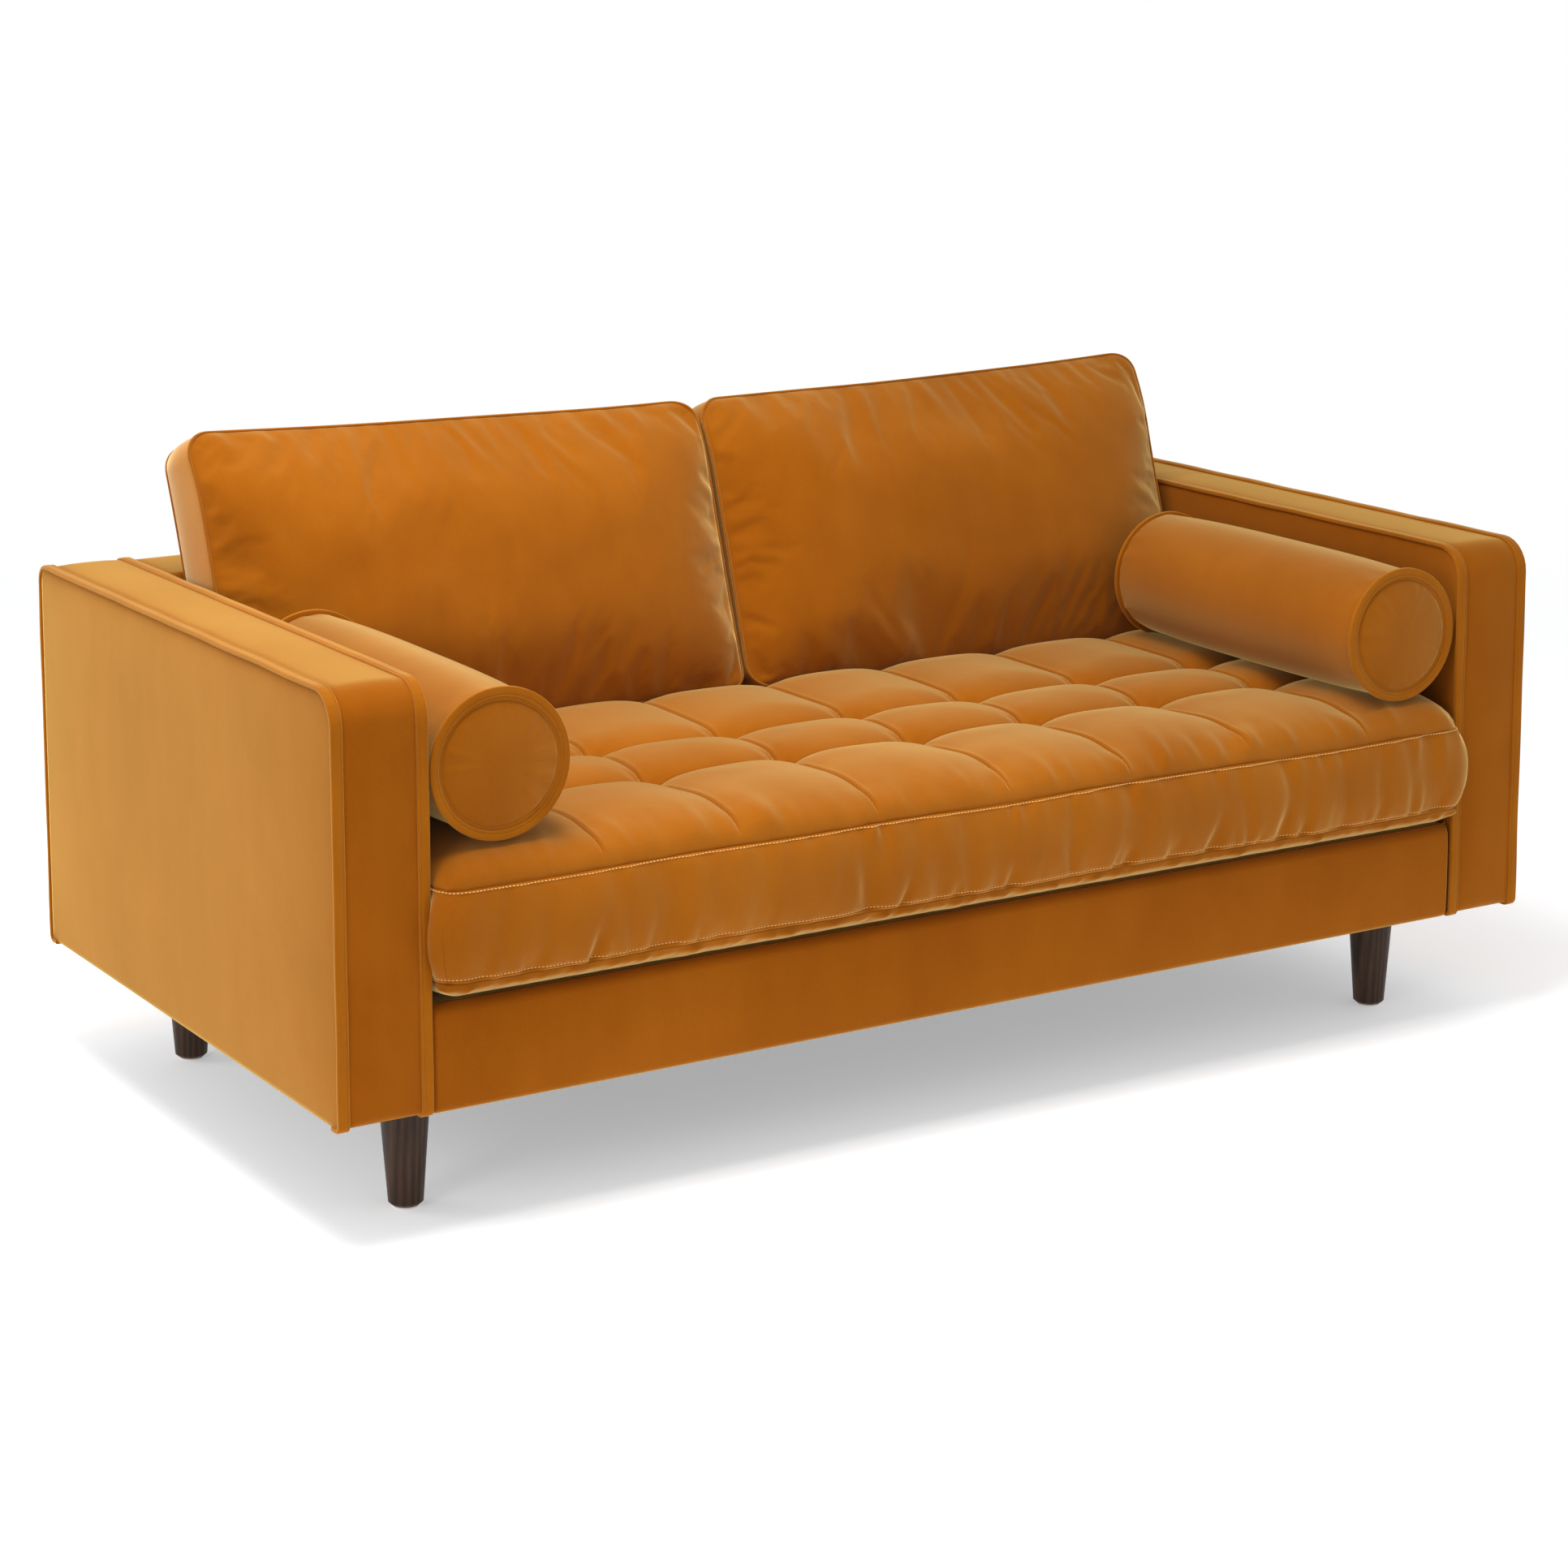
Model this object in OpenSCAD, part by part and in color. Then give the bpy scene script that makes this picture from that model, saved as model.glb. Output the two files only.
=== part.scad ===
// Two-cushion sofa with slim box arms, a bench seat, two bolsters and turned wooden legs.
// Millimetres. X runs along the sofa, -Y is the front, Z is up. The origin is on the floor,
// under the middle of the sofa.

/* [Overall] */
// Width over both arms
overall_w = 1829; // [1500:1:2400]
// Depth of the arms, front to rear
arm_depth = 930; // [820:1:1150]
// Height of the arms above the floor
arm_h = 683; // [600:1:820]
// Height of the back frame above the floor
back_h = 678; // [600:1:820]
// Clear height under the base
clear_h = 157; // [100:1:230]

/* [Arms] */
// Thickness of one arm
arm_w = 123; // [90:1:180]
// Radius of the arm's upper front corner
arm_front_r = 45; // [25:1:80]
// Radius of the arm's upper rear corner
arm_rear_r = 24; // [15:1:60]
// Width of the flat welts along the arm's edges
welt_w = 12; // [8:1:18]
// How far the welts stand proud of the strip between them
welt_proud = 3; // [1:0.5:5]

/* [Upholstery layers] */
// Thickness of a fabric cover
cover_t = 2; // [1:0.5:3]
// Thickness of the foam on the arms and the front rail
foam_t = 12; // [6:1:25]
// Thickness of the hardboard panels
panel_t = 4; // [3:0.5:8]
// Thickness of the foam on the inside back
back_foam_t = 30; // [20:1:50]

/* [Base] */
// Height of the upholstered front rail
rail_h = 131; // [100:1:180]
// Thickness of the base rails
timber_t = 30; // [22:1:45]
// Side of the square corner blocks
block_w = 90; // [75:1:120]
// Height of the corner blocks
block_h = 45; // [35:1:60]
// Number of seat springs
spring_count = 8; // [5:1:12]
// Wire diameter of the seat springs
wire_d = 3.8; // [3:0.1:5]

/* [Back] */
// Lean of the back cushions from upright
lean = 18; // [8:1:24]
// Depth from the rear of the sofa to the foot of the inside back
back_foot_depth = 213; // [190:1:260]
// Thickness of the back posts
back_post_t = 38; // [28:1:45]

/* [Seat cushion] */
// How far the seat cushion stands proud of the arms
seat_overhang = 35; // [15:1:60]
// Thickness of the seat cushion at its crown
seat_t = 187; // [140:1:230]
// Number of columns of biscuits
tuft_columns = 8; // [5:1:10]
// Distance from the cushion's front to the first row of tufts
tuft_front = 245; // [180:1:280]
// Distance between the first two rows of tufts
tuft_pitch = 150; // [120:1:200]

/* [Back cushions and bolsters] */
// Height of a back cushion, measured along its lean
cushion_h = 434; // [340:1:500]
// Thickness of a back cushion
cushion_t = 131; // [100:1:160]
// Diameter of the piping on the back cushions
piping_d = 6; // [4:0.5:9]
// Diameter of a bolster over its cover
bolster_d = 186; // [140:1:220]
// Length of a bolster
bolster_len = 533; // [400:1:560]

/* [Legs] */
// Diameter of a leg where it meets the base
leg_top_d = 66; // [50:1:75]
// Diameter of a leg at its foot
leg_foot_d = 43; // [34:1:50]
// Distance of the leg centres from the inner face of the arms
leg_inset_x = 26.5; // [20:0.5:36]
// Distance of the front legs behind the front of the arms
leg_inset_front = 136; // [90:1:200]
// Distance of the rear legs in front of the rear of the arms
leg_inset_rear = 128; // [90:1:200]

/* [Hidden] */
fabric = [0.78, 0.49, 0.16];
fabric_dark = [0.64, 0.37, 0.10];
walnut = [0.25, 0.17, 0.13];
pine = [0.80, 0.66, 0.45];
foam_c = [0.93, 0.89, 0.70];
board_c = [0.55, 0.42, 0.28];
steel = [0.62, 0.63, 0.65];
black_c = [0.12, 0.12, 0.12];
white_c = [0.88, 0.87, 0.84];

fit = 1;             // running clearance between loose cushions and their neighbours
rest_gap = 0.5;      // gap under a cushion that rests on another piece
side_gap = 3;        // clearance between a cushion and the inner face of an arm
frame_gap = 2;       // clearance between the base frame and the arms
cover_gap = 1;       // clearance between the rail, deck or back covers and the arms
cut = 1;             // how far a cutting shape reaches past the face it opens
dust_t = 1;          // black cloth under the base
deck_t = 2;          // seat deck cloth
pad_t = 8;           // felt pad over the springs
bolt_d = 8;          // threaded rod in the legs and the arm bolts
bolt_fit = 0.1;      // radial clearance around a bolt
glide_t = 3;         // nylon glide under a leg
soft_r = 40;         // rounding of the seat cushion's front edges
seat_rear_r = 14;    // rounding of its rear edges
edge_r = 18;         // rounding of a back cushion's edges
piping_proud = 2;    // how far the piping stands out of the boxing
arc_n = 6;           // straight steps in each quarter arc of an outline
round_n = 64;        // facets of a full turn on turned pieces
wire_n = 24;         // on the tie wires
twine_n = 16;        // on the tufts' ties

half_w = overall_w / 2;
arm_in = half_w - arm_w;
overall_depth = arm_depth + seat_overhang;
seat_front = -overall_depth / 2;
arm_front = seat_front + seat_overhang;
arm_rear = overall_depth / 2;
base_z = clear_h + dust_t;
rail_top = clear_h + rail_h;
deck_z = rail_top + deck_t;
seat_z = deck_z + rest_gap;
seat_top = seat_z + seat_t;
seat_half = arm_in - side_gap;

// the inside back is upright behind the seat cushion and leans above it
back_foot = arm_rear - back_foot_depth;
back_top_r = 14;     // how far the back's upper rear edge is eased
top_slope = 20;      // how far the back's upper front edge is eased
seat_rear = back_foot - side_gap;

// legs and the blocks they screw into
leg_x = arm_in - leg_inset_x;
leg_front_y = arm_front + leg_inset_front;
leg_rear_y = arm_rear - leg_inset_rear;
insert_r = 6;
insert_h = 18;
insert_flange_r = 9;
insert_flange_t = 1.5;
leg_bolt_len = 75;    // threaded rod of a leg
leg_bolt_in = 45;     // how much of the rod is in the leg
leg_bolt_z = base_z - leg_bolt_in;
block_web = 4;        // timber left over the end of the rod's hole

// base frame
rail_front_y = arm_front + welt_proud + cover_t + foam_t;
rail_z1 = rail_top - pad_t;
side_z0 = base_z + block_h;
side_x0 = arm_in - timber_t - frame_gap;
side_y0 = rail_front_y + timber_t;
side_y1 = arm_rear - cover_t - pad_t - panel_t - timber_t;
spring_z = rail_z1 - 2 * wire_d;

// arm bolts run from the side rail into the arm's bottom rail
arm_rail_h = 60;
arm_bolt_up = 12;    // above the side rail's lower edge
arm_bolt_inset = 190;
arm_bolt_z = side_z0 + arm_bolt_up;
arm_bolt_ys = [arm_front + arm_bolt_inset, (arm_front + arm_rear) / 2,
               arm_rear - arm_bolt_inset];

// seams and ties of the seat cushion
tuft_rows = [seat_front + tuft_front, seat_front + tuft_front + tuft_pitch,
             seat_front + 2 * tuft_front + tuft_pitch];
tuft_step = 2 * seat_half / tuft_columns;

bolster_r = bolster_d / 2;
bolster_x = arm_in - side_gap - bolster_r - fit;
bolster_z = seat_top + rest_gap + bolster_r;
bolster_setback = 5; // from the arm's front to the bolster's end
bolster_y0 = arm_front + bolster_setback;

// ---------- shared shapes ----------

// points of a quarter arc about c, from angle a over 90 degrees
function quarter(c, r, a) =
    [for (i = [0 : arc_n]) c + r * [cos(a + 90 * i / arc_n), sin(a + 90 * i / arc_n)]];

// rectangle with its own radius at each corner: lower rear, upper rear, upper front, lower front
function rounded(y0, y1, z0, z1, r_lr, r_ur, r_uf, r_lf) = concat(
    quarter([y1 - r_lr, z0 + r_lr], r_lr, -90),
    quarter([y1 - r_ur, z1 - r_ur], r_ur, 0),
    quarter([y0 + r_uf, z1 - r_uf], r_uf, 90),
    quarter([y0 + r_lf, z0 + r_lf], r_lf, 180));

// extrudes a (y, z) outline along X, from x0 to x1
module along_x(x0, x1) {
    translate([x0, 0, 0]) rotate([90, 0, 90]) linear_extrude(x1 - x0) children();
}

// a box given by its two corners
module block(a, b) {
    translate(a) cube(b - a);
}

// draws its children on the right, or mirrored on the left
module on_side(side) {
    if (side > 0) children();
    else mirror([1, 0, 0]) children();
}

module both_sides() {
    on_side(1) children();
    on_side(-1) children();
}

// ---------- base frame ----------

module front_rail() {
    color(pine) block([-arm_in + frame_gap, rail_front_y, base_z],
                      [arm_in - frame_gap, rail_front_y + timber_t, rail_z1]);
}

module back_rail() {
    color(pine) block([-arm_in + frame_gap, side_y1, base_z],
                      [arm_in - frame_gap, side_y1 + timber_t, rail_z1]);
}

module arm_bolt_holes() {
    for (y = arm_bolt_ys)
        translate([side_x0 - cut, y, arm_bolt_z]) rotate([0, 90, 0])
            cylinder(r = bolt_d / 2 + bolt_fit, h = arm_w, $fn = round_n);
}

module side_rails() {
    color(pine) both_sides() difference() {
        block([side_x0, side_y0, side_z0], [side_x0 + timber_t, side_y1, rail_z1]);
        arm_bolt_holes();
    }
}

module centre_stretcher() {
    color(pine) block([-timber_t / 2, side_y0, base_z],
                      [timber_t / 2, side_y1, spring_z - 3 * wire_d]);
}

module at_legs() {
    for (x = [-leg_x, leg_x], y = [leg_front_y, leg_rear_y]) translate([x, y, 0]) children();
}

module corner_blocks() {
    block_out = arm_in - frame_gap - leg_x;
    color(pine) both_sides() for (y = [leg_front_y, leg_rear_y]) translate([leg_x, y, base_z])
        difference() {
            block([block_out - block_w, -block_w / 2, 0], [block_out, block_w / 2, block_h]);
            translate([0, 0, -cut]) cylinder(r = insert_r, h = insert_h + cut, $fn = round_n);
            translate([0, 0, -cut]) cylinder(r = insert_flange_r, h = insert_flange_t + cut,
                                           $fn = round_n);
            translate([0, 0, -cut]) cylinder(r = bolt_d / 2 + bolt_fit, h = block_h - block_web,
                                           $fn = round_n);
        }
}

// threaded inserts in the corner blocks
module leg_inserts() {
    color(steel) at_legs() translate([0, 0, base_z]) difference() {
        union() {
            cylinder(r = insert_flange_r, h = insert_flange_t, $fn = round_n);
            cylinder(r = insert_r, h = insert_h, $fn = round_n);
        }
        translate([0, 0, -cut]) cylinder(r = bolt_d / 2 + bolt_fit, h = insert_h + 2 * cut,
                                       $fn = round_n);
    }
}

module leg_bolts() {
    color(steel) at_legs() translate([0, 0, leg_bolt_z])
        cylinder(r = bolt_d / 2, h = leg_bolt_len, $fn = round_n);
}

// turned leg: tapered, with a chamfered foot and a blind hole for its bolt
module leg_body() {
    foot_r = leg_foot_d / 2;
    top_r = leg_top_d / 2;
    chamfer = 3;
    top_ease = 1;
    color(walnut) difference() {
        rotate_extrude($fn = round_n) polygon([
            [0, glide_t], [foot_r - chamfer, glide_t], [foot_r, glide_t + chamfer],
            [top_r, base_z - chamfer], [top_r - top_ease, base_z], [0, base_z]]);
        translate([0, 0, leg_bolt_z - cut])
            cylinder(r = bolt_d / 2 + bolt_fit, h = leg_bolt_len, $fn = round_n);
    }
}

module leg_front_left() { translate([-leg_x, leg_front_y, 0]) leg_body(); }
module leg_front_right() { translate([leg_x, leg_front_y, 0]) leg_body(); }
module leg_rear_left() { translate([-leg_x, leg_rear_y, 0]) leg_body(); }
module leg_rear_right() { translate([leg_x, leg_rear_y, 0]) leg_body(); }

module foot_glides() {
    glide_inset = 6;
    glide_r = leg_foot_d / 2 - glide_inset;
    color(white_c) at_legs() cylinder(r = glide_r, h = glide_t, $fn = round_n);
}

module dust_cover() {
    leg_room = 2;
    arm_inset = 8;
    color(black_c) difference() {
        block([-arm_in + frame_gap, rail_front_y, clear_h],
              [arm_in - frame_gap, side_y1 + timber_t, clear_h + dust_t]);
        at_legs() translate([0, 0, clear_h - cut])
            cylinder(r = leg_top_d / 2 + leg_room, h = dust_t + 2 * cut, $fn = round_n);
    }
    color(black_c) both_sides()
        block([arm_in + cover_t, arm_front + foam_in + arm_inset, wood_z - dust_t],
              [half_w - cover_t, arm_rear - foam_in - arm_inset, wood_z]);
}

// ---------- seat springs and deck ----------

spring_bends = 14;
spring_half_w = 24;
spring_inset = 12;   // from the rail's face to a spring's end
spring_y0 = side_y0 + spring_inset;
spring_y1 = side_y1 - spring_inset;
spring_pitch = 2 * side_x0 / spring_count;

// one point on the wire's centre line, and on the edges at half a wire to each side
function wire_at(t) = [spring_half_w * sin(180 * spring_bends * t),
                       spring_y0 + (spring_y1 - spring_y0) * t];
function wire_normal(t) =
    let (dx = spring_half_w * cos(180 * spring_bends * t) * PI * spring_bends,
         dy = spring_y1 - spring_y0, n = norm([dx, dy])) [-dy / n, dx / n];
function wire_edge(side) =
    [for (i = [0 : 5 * spring_bends])
        let (t = i / (5 * spring_bends)) wire_at(t) + side * wire_d / 2 * wire_normal(t)];

module seat_springs() {
    left = wire_edge(1);
    right = wire_edge(-1);
    last = len(right) - 1;
    outline = concat(left, [for (i = [0 : last]) right[last - i]]);
    color(steel) for (i = [0 : spring_count - 1])
        translate([(i - (spring_count - 1) / 2) * spring_pitch, 0, spring_z])
            linear_extrude(wire_d) polygon(outline);
}

// a folded clip holds each end of each spring on its rail
module spring_clips() {
    clip_w = 18;
    clip_len = 22;
    clip_t = 1.5;
    clip_room = 0.5;
    clip_h = wire_d + 2 * clip_room + 2 * clip_t;
    color(steel) for (i = [0 : spring_count - 1], end = [0, 1])
        translate([(i - (spring_count - 1) / 2) * spring_pitch, end == 0 ? side_y0 : side_y1,
                   spring_z - clip_t - clip_room])
            mirror([0, end, 0]) difference() {
                block([-clip_w / 2, 0, 0], [clip_w / 2, clip_len, clip_h]);
                block([-clip_w, clip_t, clip_t], [clip_w, clip_len + cut, clip_h - clip_t]);
            }
}

module spring_tie_wires() {
    tie_d = 3;
    tie_gap = 0.2;
    tie_spots = [0.34, 0.67];
    inset = 10;
    color(white_c) for (f = tie_spots)
        translate([-side_x0 + inset, spring_y0 + (spring_y1 - spring_y0) * f,
                   spring_z - tie_d / 2 - tie_gap])
            rotate([0, 90, 0]) cylinder(d = tie_d, h = 2 * (side_x0 - inset), $fn = wire_n);
}

module deck_pad() {
    color(foam_c) block([-arm_in + frame_gap, rail_front_y, rail_z1],
                        [arm_in - frame_gap, back_foot, rail_top - cover_t]);
}

module deck_cover() {
    color(fabric_dark) block([-arm_in + cover_gap, rail_front_y, rail_top - cover_t],
                             [arm_in - cover_gap, back_foot, deck_z]);
}

module front_rail_foam() {
    color(foam_c) block([-arm_in + frame_gap, arm_front + welt_proud + cover_t, clear_h + cover_t],
                        [arm_in - frame_gap, rail_front_y, deck_z - cover_t]);
}

// the rail's cover wraps its front, its top and its lower edge
module front_rail_cover() {
    y0 = arm_front + welt_proud;
    color(fabric) along_x(-arm_in + cover_gap, arm_in - cover_gap) polygon([
        [y0, clear_h], [y0, deck_z], [rail_front_y, deck_z], [rail_front_y, deck_z - cover_t],
        [y0 + cover_t, deck_z - cover_t], [y0 + cover_t, clear_h + cover_t],
        [rail_front_y, clear_h + cover_t], [rail_front_y, clear_h]]);
}

// ---------- arms ----------

boxing_in = welt_proud;
foam_in = boxing_in + cover_t;
wood_in = foam_in + foam_t;
wood_z = clear_h + foam_in;
strip_lift = 8;      // the strip, the welts and the edge pads stop this far up
arm_foot_r = 8;      // rounding of the arm's lower corners
least_r = 4;
arm_top_rail_h = 45;

// side outline of an arm, drawn in by d from the welt line; the frame has no foam under it
function arm_outline(d) = rounded(arm_front + d, arm_rear - d, clear_h + min(d, foam_in),
    arm_h - d, arm_foot_r, max(arm_rear_r - d, least_r), max(arm_front_r - d, least_r), arm_foot_r);

arm_x0 = arm_in + cover_t + foam_t + panel_t;
arm_x1 = half_w - cover_t - foam_t - panel_t;
arm_top_z = arm_h - wood_in - arm_top_rail_h;

// open-bottomed band between two outlines, from height z0 up
module arm_band(d0, d1, z0) {
    difference() {
        polygon(arm_outline(d0));
        polygon(arm_outline(d1));
        translate([arm_front - cut, 0]) square([arm_depth + 2 * cut, z0]);
    }
}

module arm_posts() {
    post_w = 60;
    color(pine) for (y = [arm_front + wood_in, arm_rear - wood_in - post_w])
        block([arm_x0, y, wood_z + arm_rail_h], [arm_x1, y + post_w, arm_top_z]);
}

module arm_rails() {
    color(pine) difference() {
        along_x(arm_x0, arm_x1) difference() {
            polygon(arm_outline(wood_in));
            translate([arm_front, wood_z + arm_rail_h])
                square([arm_depth, arm_top_z - wood_z - arm_rail_h]);
        }
        arm_bolt_holes();
    }
}

module arm_panels() {
    color(board_c) {
        along_x(arm_x1, arm_x1 + panel_t) polygon(arm_outline(wood_in));
        difference() {
            along_x(arm_x0 - panel_t, arm_x0) polygon(arm_outline(wood_in));
            arm_bolt_holes();
        }
    }
}

// flat pads on both sides, and pads on the front, top and rear edges
module arm_foam() {
    split_z = arm_h - foam_in - arm_front_r;
    pad_z = wood_z + strip_lift;
    joint_gap = 0.2;
    color(foam_c) {
        along_x(arm_x1 + panel_t, half_w - cover_t) polygon(arm_outline(foam_in));
        difference() {
            along_x(arm_in + cover_t, arm_x0 - panel_t) polygon(arm_outline(foam_in));
            arm_bolt_holes();
        }
        along_x(arm_x0 - panel_t + joint_gap, arm_x1 + panel_t - joint_gap) {
            intersection() {
                arm_band(foam_in, wood_in, wood_z);
                translate([arm_front, split_z]) square([arm_depth, arm_h]);
            }
            for (y = [arm_front + foam_in, arm_rear - foam_in - foam_t])
                translate([y, pad_z]) square([foam_t, split_z - pad_z - joint_gap]);
        }
    }
}

module arm_outer_cover() {
    color(fabric) along_x(half_w - cover_t, half_w) polygon(arm_outline(boxing_in));
}

module arm_inner_cover() {
    color(fabric) difference() {
        along_x(arm_in, arm_in + cover_t) polygon(arm_outline(boxing_in));
        arm_bolt_holes();
    }
}

// the strip over the front, top and rear, between the side covers
module arm_boxing() {
    color(fabric_dark) along_x(arm_in + cover_t, half_w - cover_t)
        arm_band(boxing_in, foam_in, clear_h + boxing_in + strip_lift);
}

module arm_welts() {
    color(fabric_dark) for (x = [arm_in, half_w - welt_w])
        along_x(x, x + welt_w) arm_band(0, boxing_in, clear_h + strip_lift);
}

module left_arm_posts() { on_side(-1) arm_posts(); }
module right_arm_posts() { on_side(1) arm_posts(); }
module left_arm_rails() { on_side(-1) arm_rails(); }
module right_arm_rails() { on_side(1) arm_rails(); }
module left_arm_panels() { on_side(-1) arm_panels(); }
module right_arm_panels() { on_side(1) arm_panels(); }
module left_arm_foam() { on_side(-1) arm_foam(); }
module right_arm_foam() { on_side(1) arm_foam(); }
module left_arm_outer_cover() { on_side(-1) arm_outer_cover(); }
module right_arm_outer_cover() { on_side(1) arm_outer_cover(); }
module left_arm_inner_cover() { on_side(-1) arm_inner_cover(); }
module right_arm_inner_cover() { on_side(1) arm_inner_cover(); }
module left_arm_boxing() { on_side(-1) arm_boxing(); }
module right_arm_boxing() { on_side(1) arm_boxing(); }
module left_arm_welts() { on_side(-1) arm_welts(); }
module right_arm_welts() { on_side(1) arm_welts(); }

// bolts that hold the arms to the side rails
module arm_bolts() {
    head_r = 9;
    head_t = 4;
    tip = 20;
    color(steel) both_sides() for (y = arm_bolt_ys)
        translate([side_x0, y, arm_bolt_z]) rotate([0, 90, 0]) {
            translate([0, 0, -head_t]) cylinder(r = head_r, h = head_t, $fn = round_n);
            translate([0, 0, -head_t / 2])
                cylinder(r = bolt_d / 2, h = arm_x1 - side_x0 - tip, $fn = round_n);
        }
}

// ---------- back ----------

// the inside back's face, moved back by d: its foot, its knee and its top
function face(d, z0, z1) = [[back_foot + d, z0], [back_foot + d, seat_top],
    [back_foot + d + (z1 - seat_top) * tan(lean), z1]];

back_half = arm_in - cover_gap;
back_wood_top = back_h - cover_t - foam_t;
back_layer = cover_t + back_foam_t;
strap_t = 2;

// layer of the inside back between two depths behind its face
module back_slab(d0, d1, z0, z1) {
    front = face(d0, z0, z1);
    rear = face(d1, z0, z1);
    polygon([front[0], front[1], front[2], rear[2], rear[1], rear[0]]);
}

post_y = back_foot + back_layer + strap_t;
back_rail_h = 45;    // height of the back's top rail
post_top = back_wood_top - back_rail_h;

module back_posts() {
    post_w = 45;
    color(pine) for (i = [0 : 3])
        translate([-back_half + post_w / 2 + (2 * back_half - post_w) * i / 3, 0, 0])
            along_x(-post_w / 2, post_w / 2) polygon([
                [post_y, rail_z1], [post_y, seat_top],
                [post_y + (post_top - seat_top) * tan(lean), post_top],
                [post_y + (post_top - seat_top) * tan(lean) + back_post_t, post_top],
                [post_y + back_post_t, seat_top], [post_y + back_post_t, rail_z1]]);
}

module back_top_rail() {
    y0 = post_y + (back_wood_top - seat_top) * tan(lean);
    y1 = arm_rear - cover_t - pad_t - panel_t;
    color(pine) block([-back_half, y0, post_top], [back_half, y1, back_wood_top]);
}

// elastic straps over the posts, behind the foam
module back_webbing() {
    strap_w = 50;
    strap_pitch = 85;
    strap_gap = 12;
    low_strap_up = 60;
    strap_z0 = seat_top + strap_gap;
    straps = floor((post_top - strap_z0 - strap_w) / strap_pitch);
    color(black_c) {
        for (i = [0 : straps]) along_x(-back_half, back_half)
            back_slab_part(back_layer, back_layer + strap_t, strap_z0 + i * strap_pitch, strap_w);
        block([-back_half, post_y - strap_t, rail_top + low_strap_up],
              [back_half, post_y, rail_top + low_strap_up + strap_w]);
    }
}

// a strip of the leaning part of the back, from height z, h high
module back_slab_part(d0, d1, z, h) {
    a = (z - seat_top) * tan(lean);
    b = (z + h - seat_top) * tan(lean);
    polygon([[back_foot + d0 + a, z], [back_foot + d0 + b, z + h],
             [back_foot + d1 + b, z + h], [back_foot + d1 + a, z]]);
}

// one pad behind the inside face and one over the top rail
module back_foam() {
    top_z = back_h - cover_t;
    run = (back_wood_top - seat_top) * tan(lean);
    y1 = arm_rear - cover_t;
    pad_gap = 0.2;
    color(foam_c) along_x(-back_half, back_half) {
        back_slab(cover_t, back_layer, deck_z, back_wood_top - pad_gap);
        polygon([
            [back_foot + cover_t + run, back_wood_top],
            [y1, back_wood_top], [y1 - back_top_r / 2, top_z],
            [back_foot + cover_t + run + top_slope, top_z]]);
    }
}

// stiff board behind the frame
module back_panel() {
    y1 = arm_rear - cover_t - pad_t;
    color(board_c) block([-back_half, y1 - panel_t, base_z], [back_half, y1, back_wood_top]);
}

// felt between the board and the outside cover
module back_felt() {
    y1 = arm_rear - cover_t;
    color(white_c) block([-back_half, y1 - pad_t, base_z], [back_half, y1, back_wood_top]);
}

module inside_back_cover() {
    top_z = back_h - cover_t;
    run = (back_wood_top - seat_top) * tan(lean);
    y_top = back_foot + run;
    y_rear = arm_rear - cover_t;
    color(fabric_dark) along_x(-back_half, back_half) polygon([
        [back_foot, deck_z], [back_foot, seat_top], [y_top, back_wood_top],
        [y_top + top_slope, back_h], [y_rear - back_top_r / 2, back_h],
        [y_rear - back_top_r / 2, top_z], [y_top + cover_t + top_slope, top_z],
        [y_top + cover_t, back_wood_top], [back_foot + cover_t, seat_top],
        [back_foot + cover_t, deck_z]]);
}

module outside_back_cover() {
    y1 = arm_rear - cover_t;
    color(fabric) along_x(-back_half, back_half) polygon([
        [y1, clear_h], [arm_rear, clear_h], [arm_rear, back_wood_top],
        [arm_rear - back_top_r / 2, back_h], [y1 - back_top_r / 2, back_h],
        [y1 - back_top_r / 2, back_h - cover_t], [y1, back_wood_top]]);
}

// ---------- seat cushion ----------

// side outline of the seat cushion, drawn in by d
function seat_outline(d) = rounded(seat_front + d, seat_rear - d, seat_z + d, seat_top - d,
    seat_rear_r, seat_rear_r, soft_r - d, soft_r - d);

module seat_cushion_cover() {
    color(fabric) difference() {
        along_x(-seat_half, seat_half) polygon(seat_outline(0));
        along_x(-seat_half + cover_t, seat_half - cover_t) polygon(seat_outline(cover_t));
    }
}

module at_tufts() {
    for (i = [1 : tuft_columns - 1], y = tuft_rows)
        translate([-seat_half + i * tuft_step, y, 0]) children();
}

tie_r = 1.5;

module seat_foam() {
    color(foam_c) difference() {
        along_x(-seat_half + cover_t, seat_half - cover_t) polygon(seat_outline(cover_t));
        at_tufts() translate([0, 0, seat_z])
            cylinder(r = tie_r + bolt_fit, h = seat_t, $fn = twine_n);
    }
}

// twine ties that pull the tufts down through the foam
module seat_tuft_ties() {
    color(white_c) at_tufts() translate([0, 0, seat_z + cover_t])
        cylinder(r = tie_r, h = seat_t - 2 * cover_t, $fn = twine_n);
}

// ---------- back cushions ----------

cushion_in = 2;       // half the gap between the two back cushions
cushion_out = seat_half;
cushion_base = seat_top + rest_gap;
cushion_rear = back_foot - fit + rest_gap * tan(lean);
cushion_front = cushion_rear - cushion_t / cos(lean);

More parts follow.
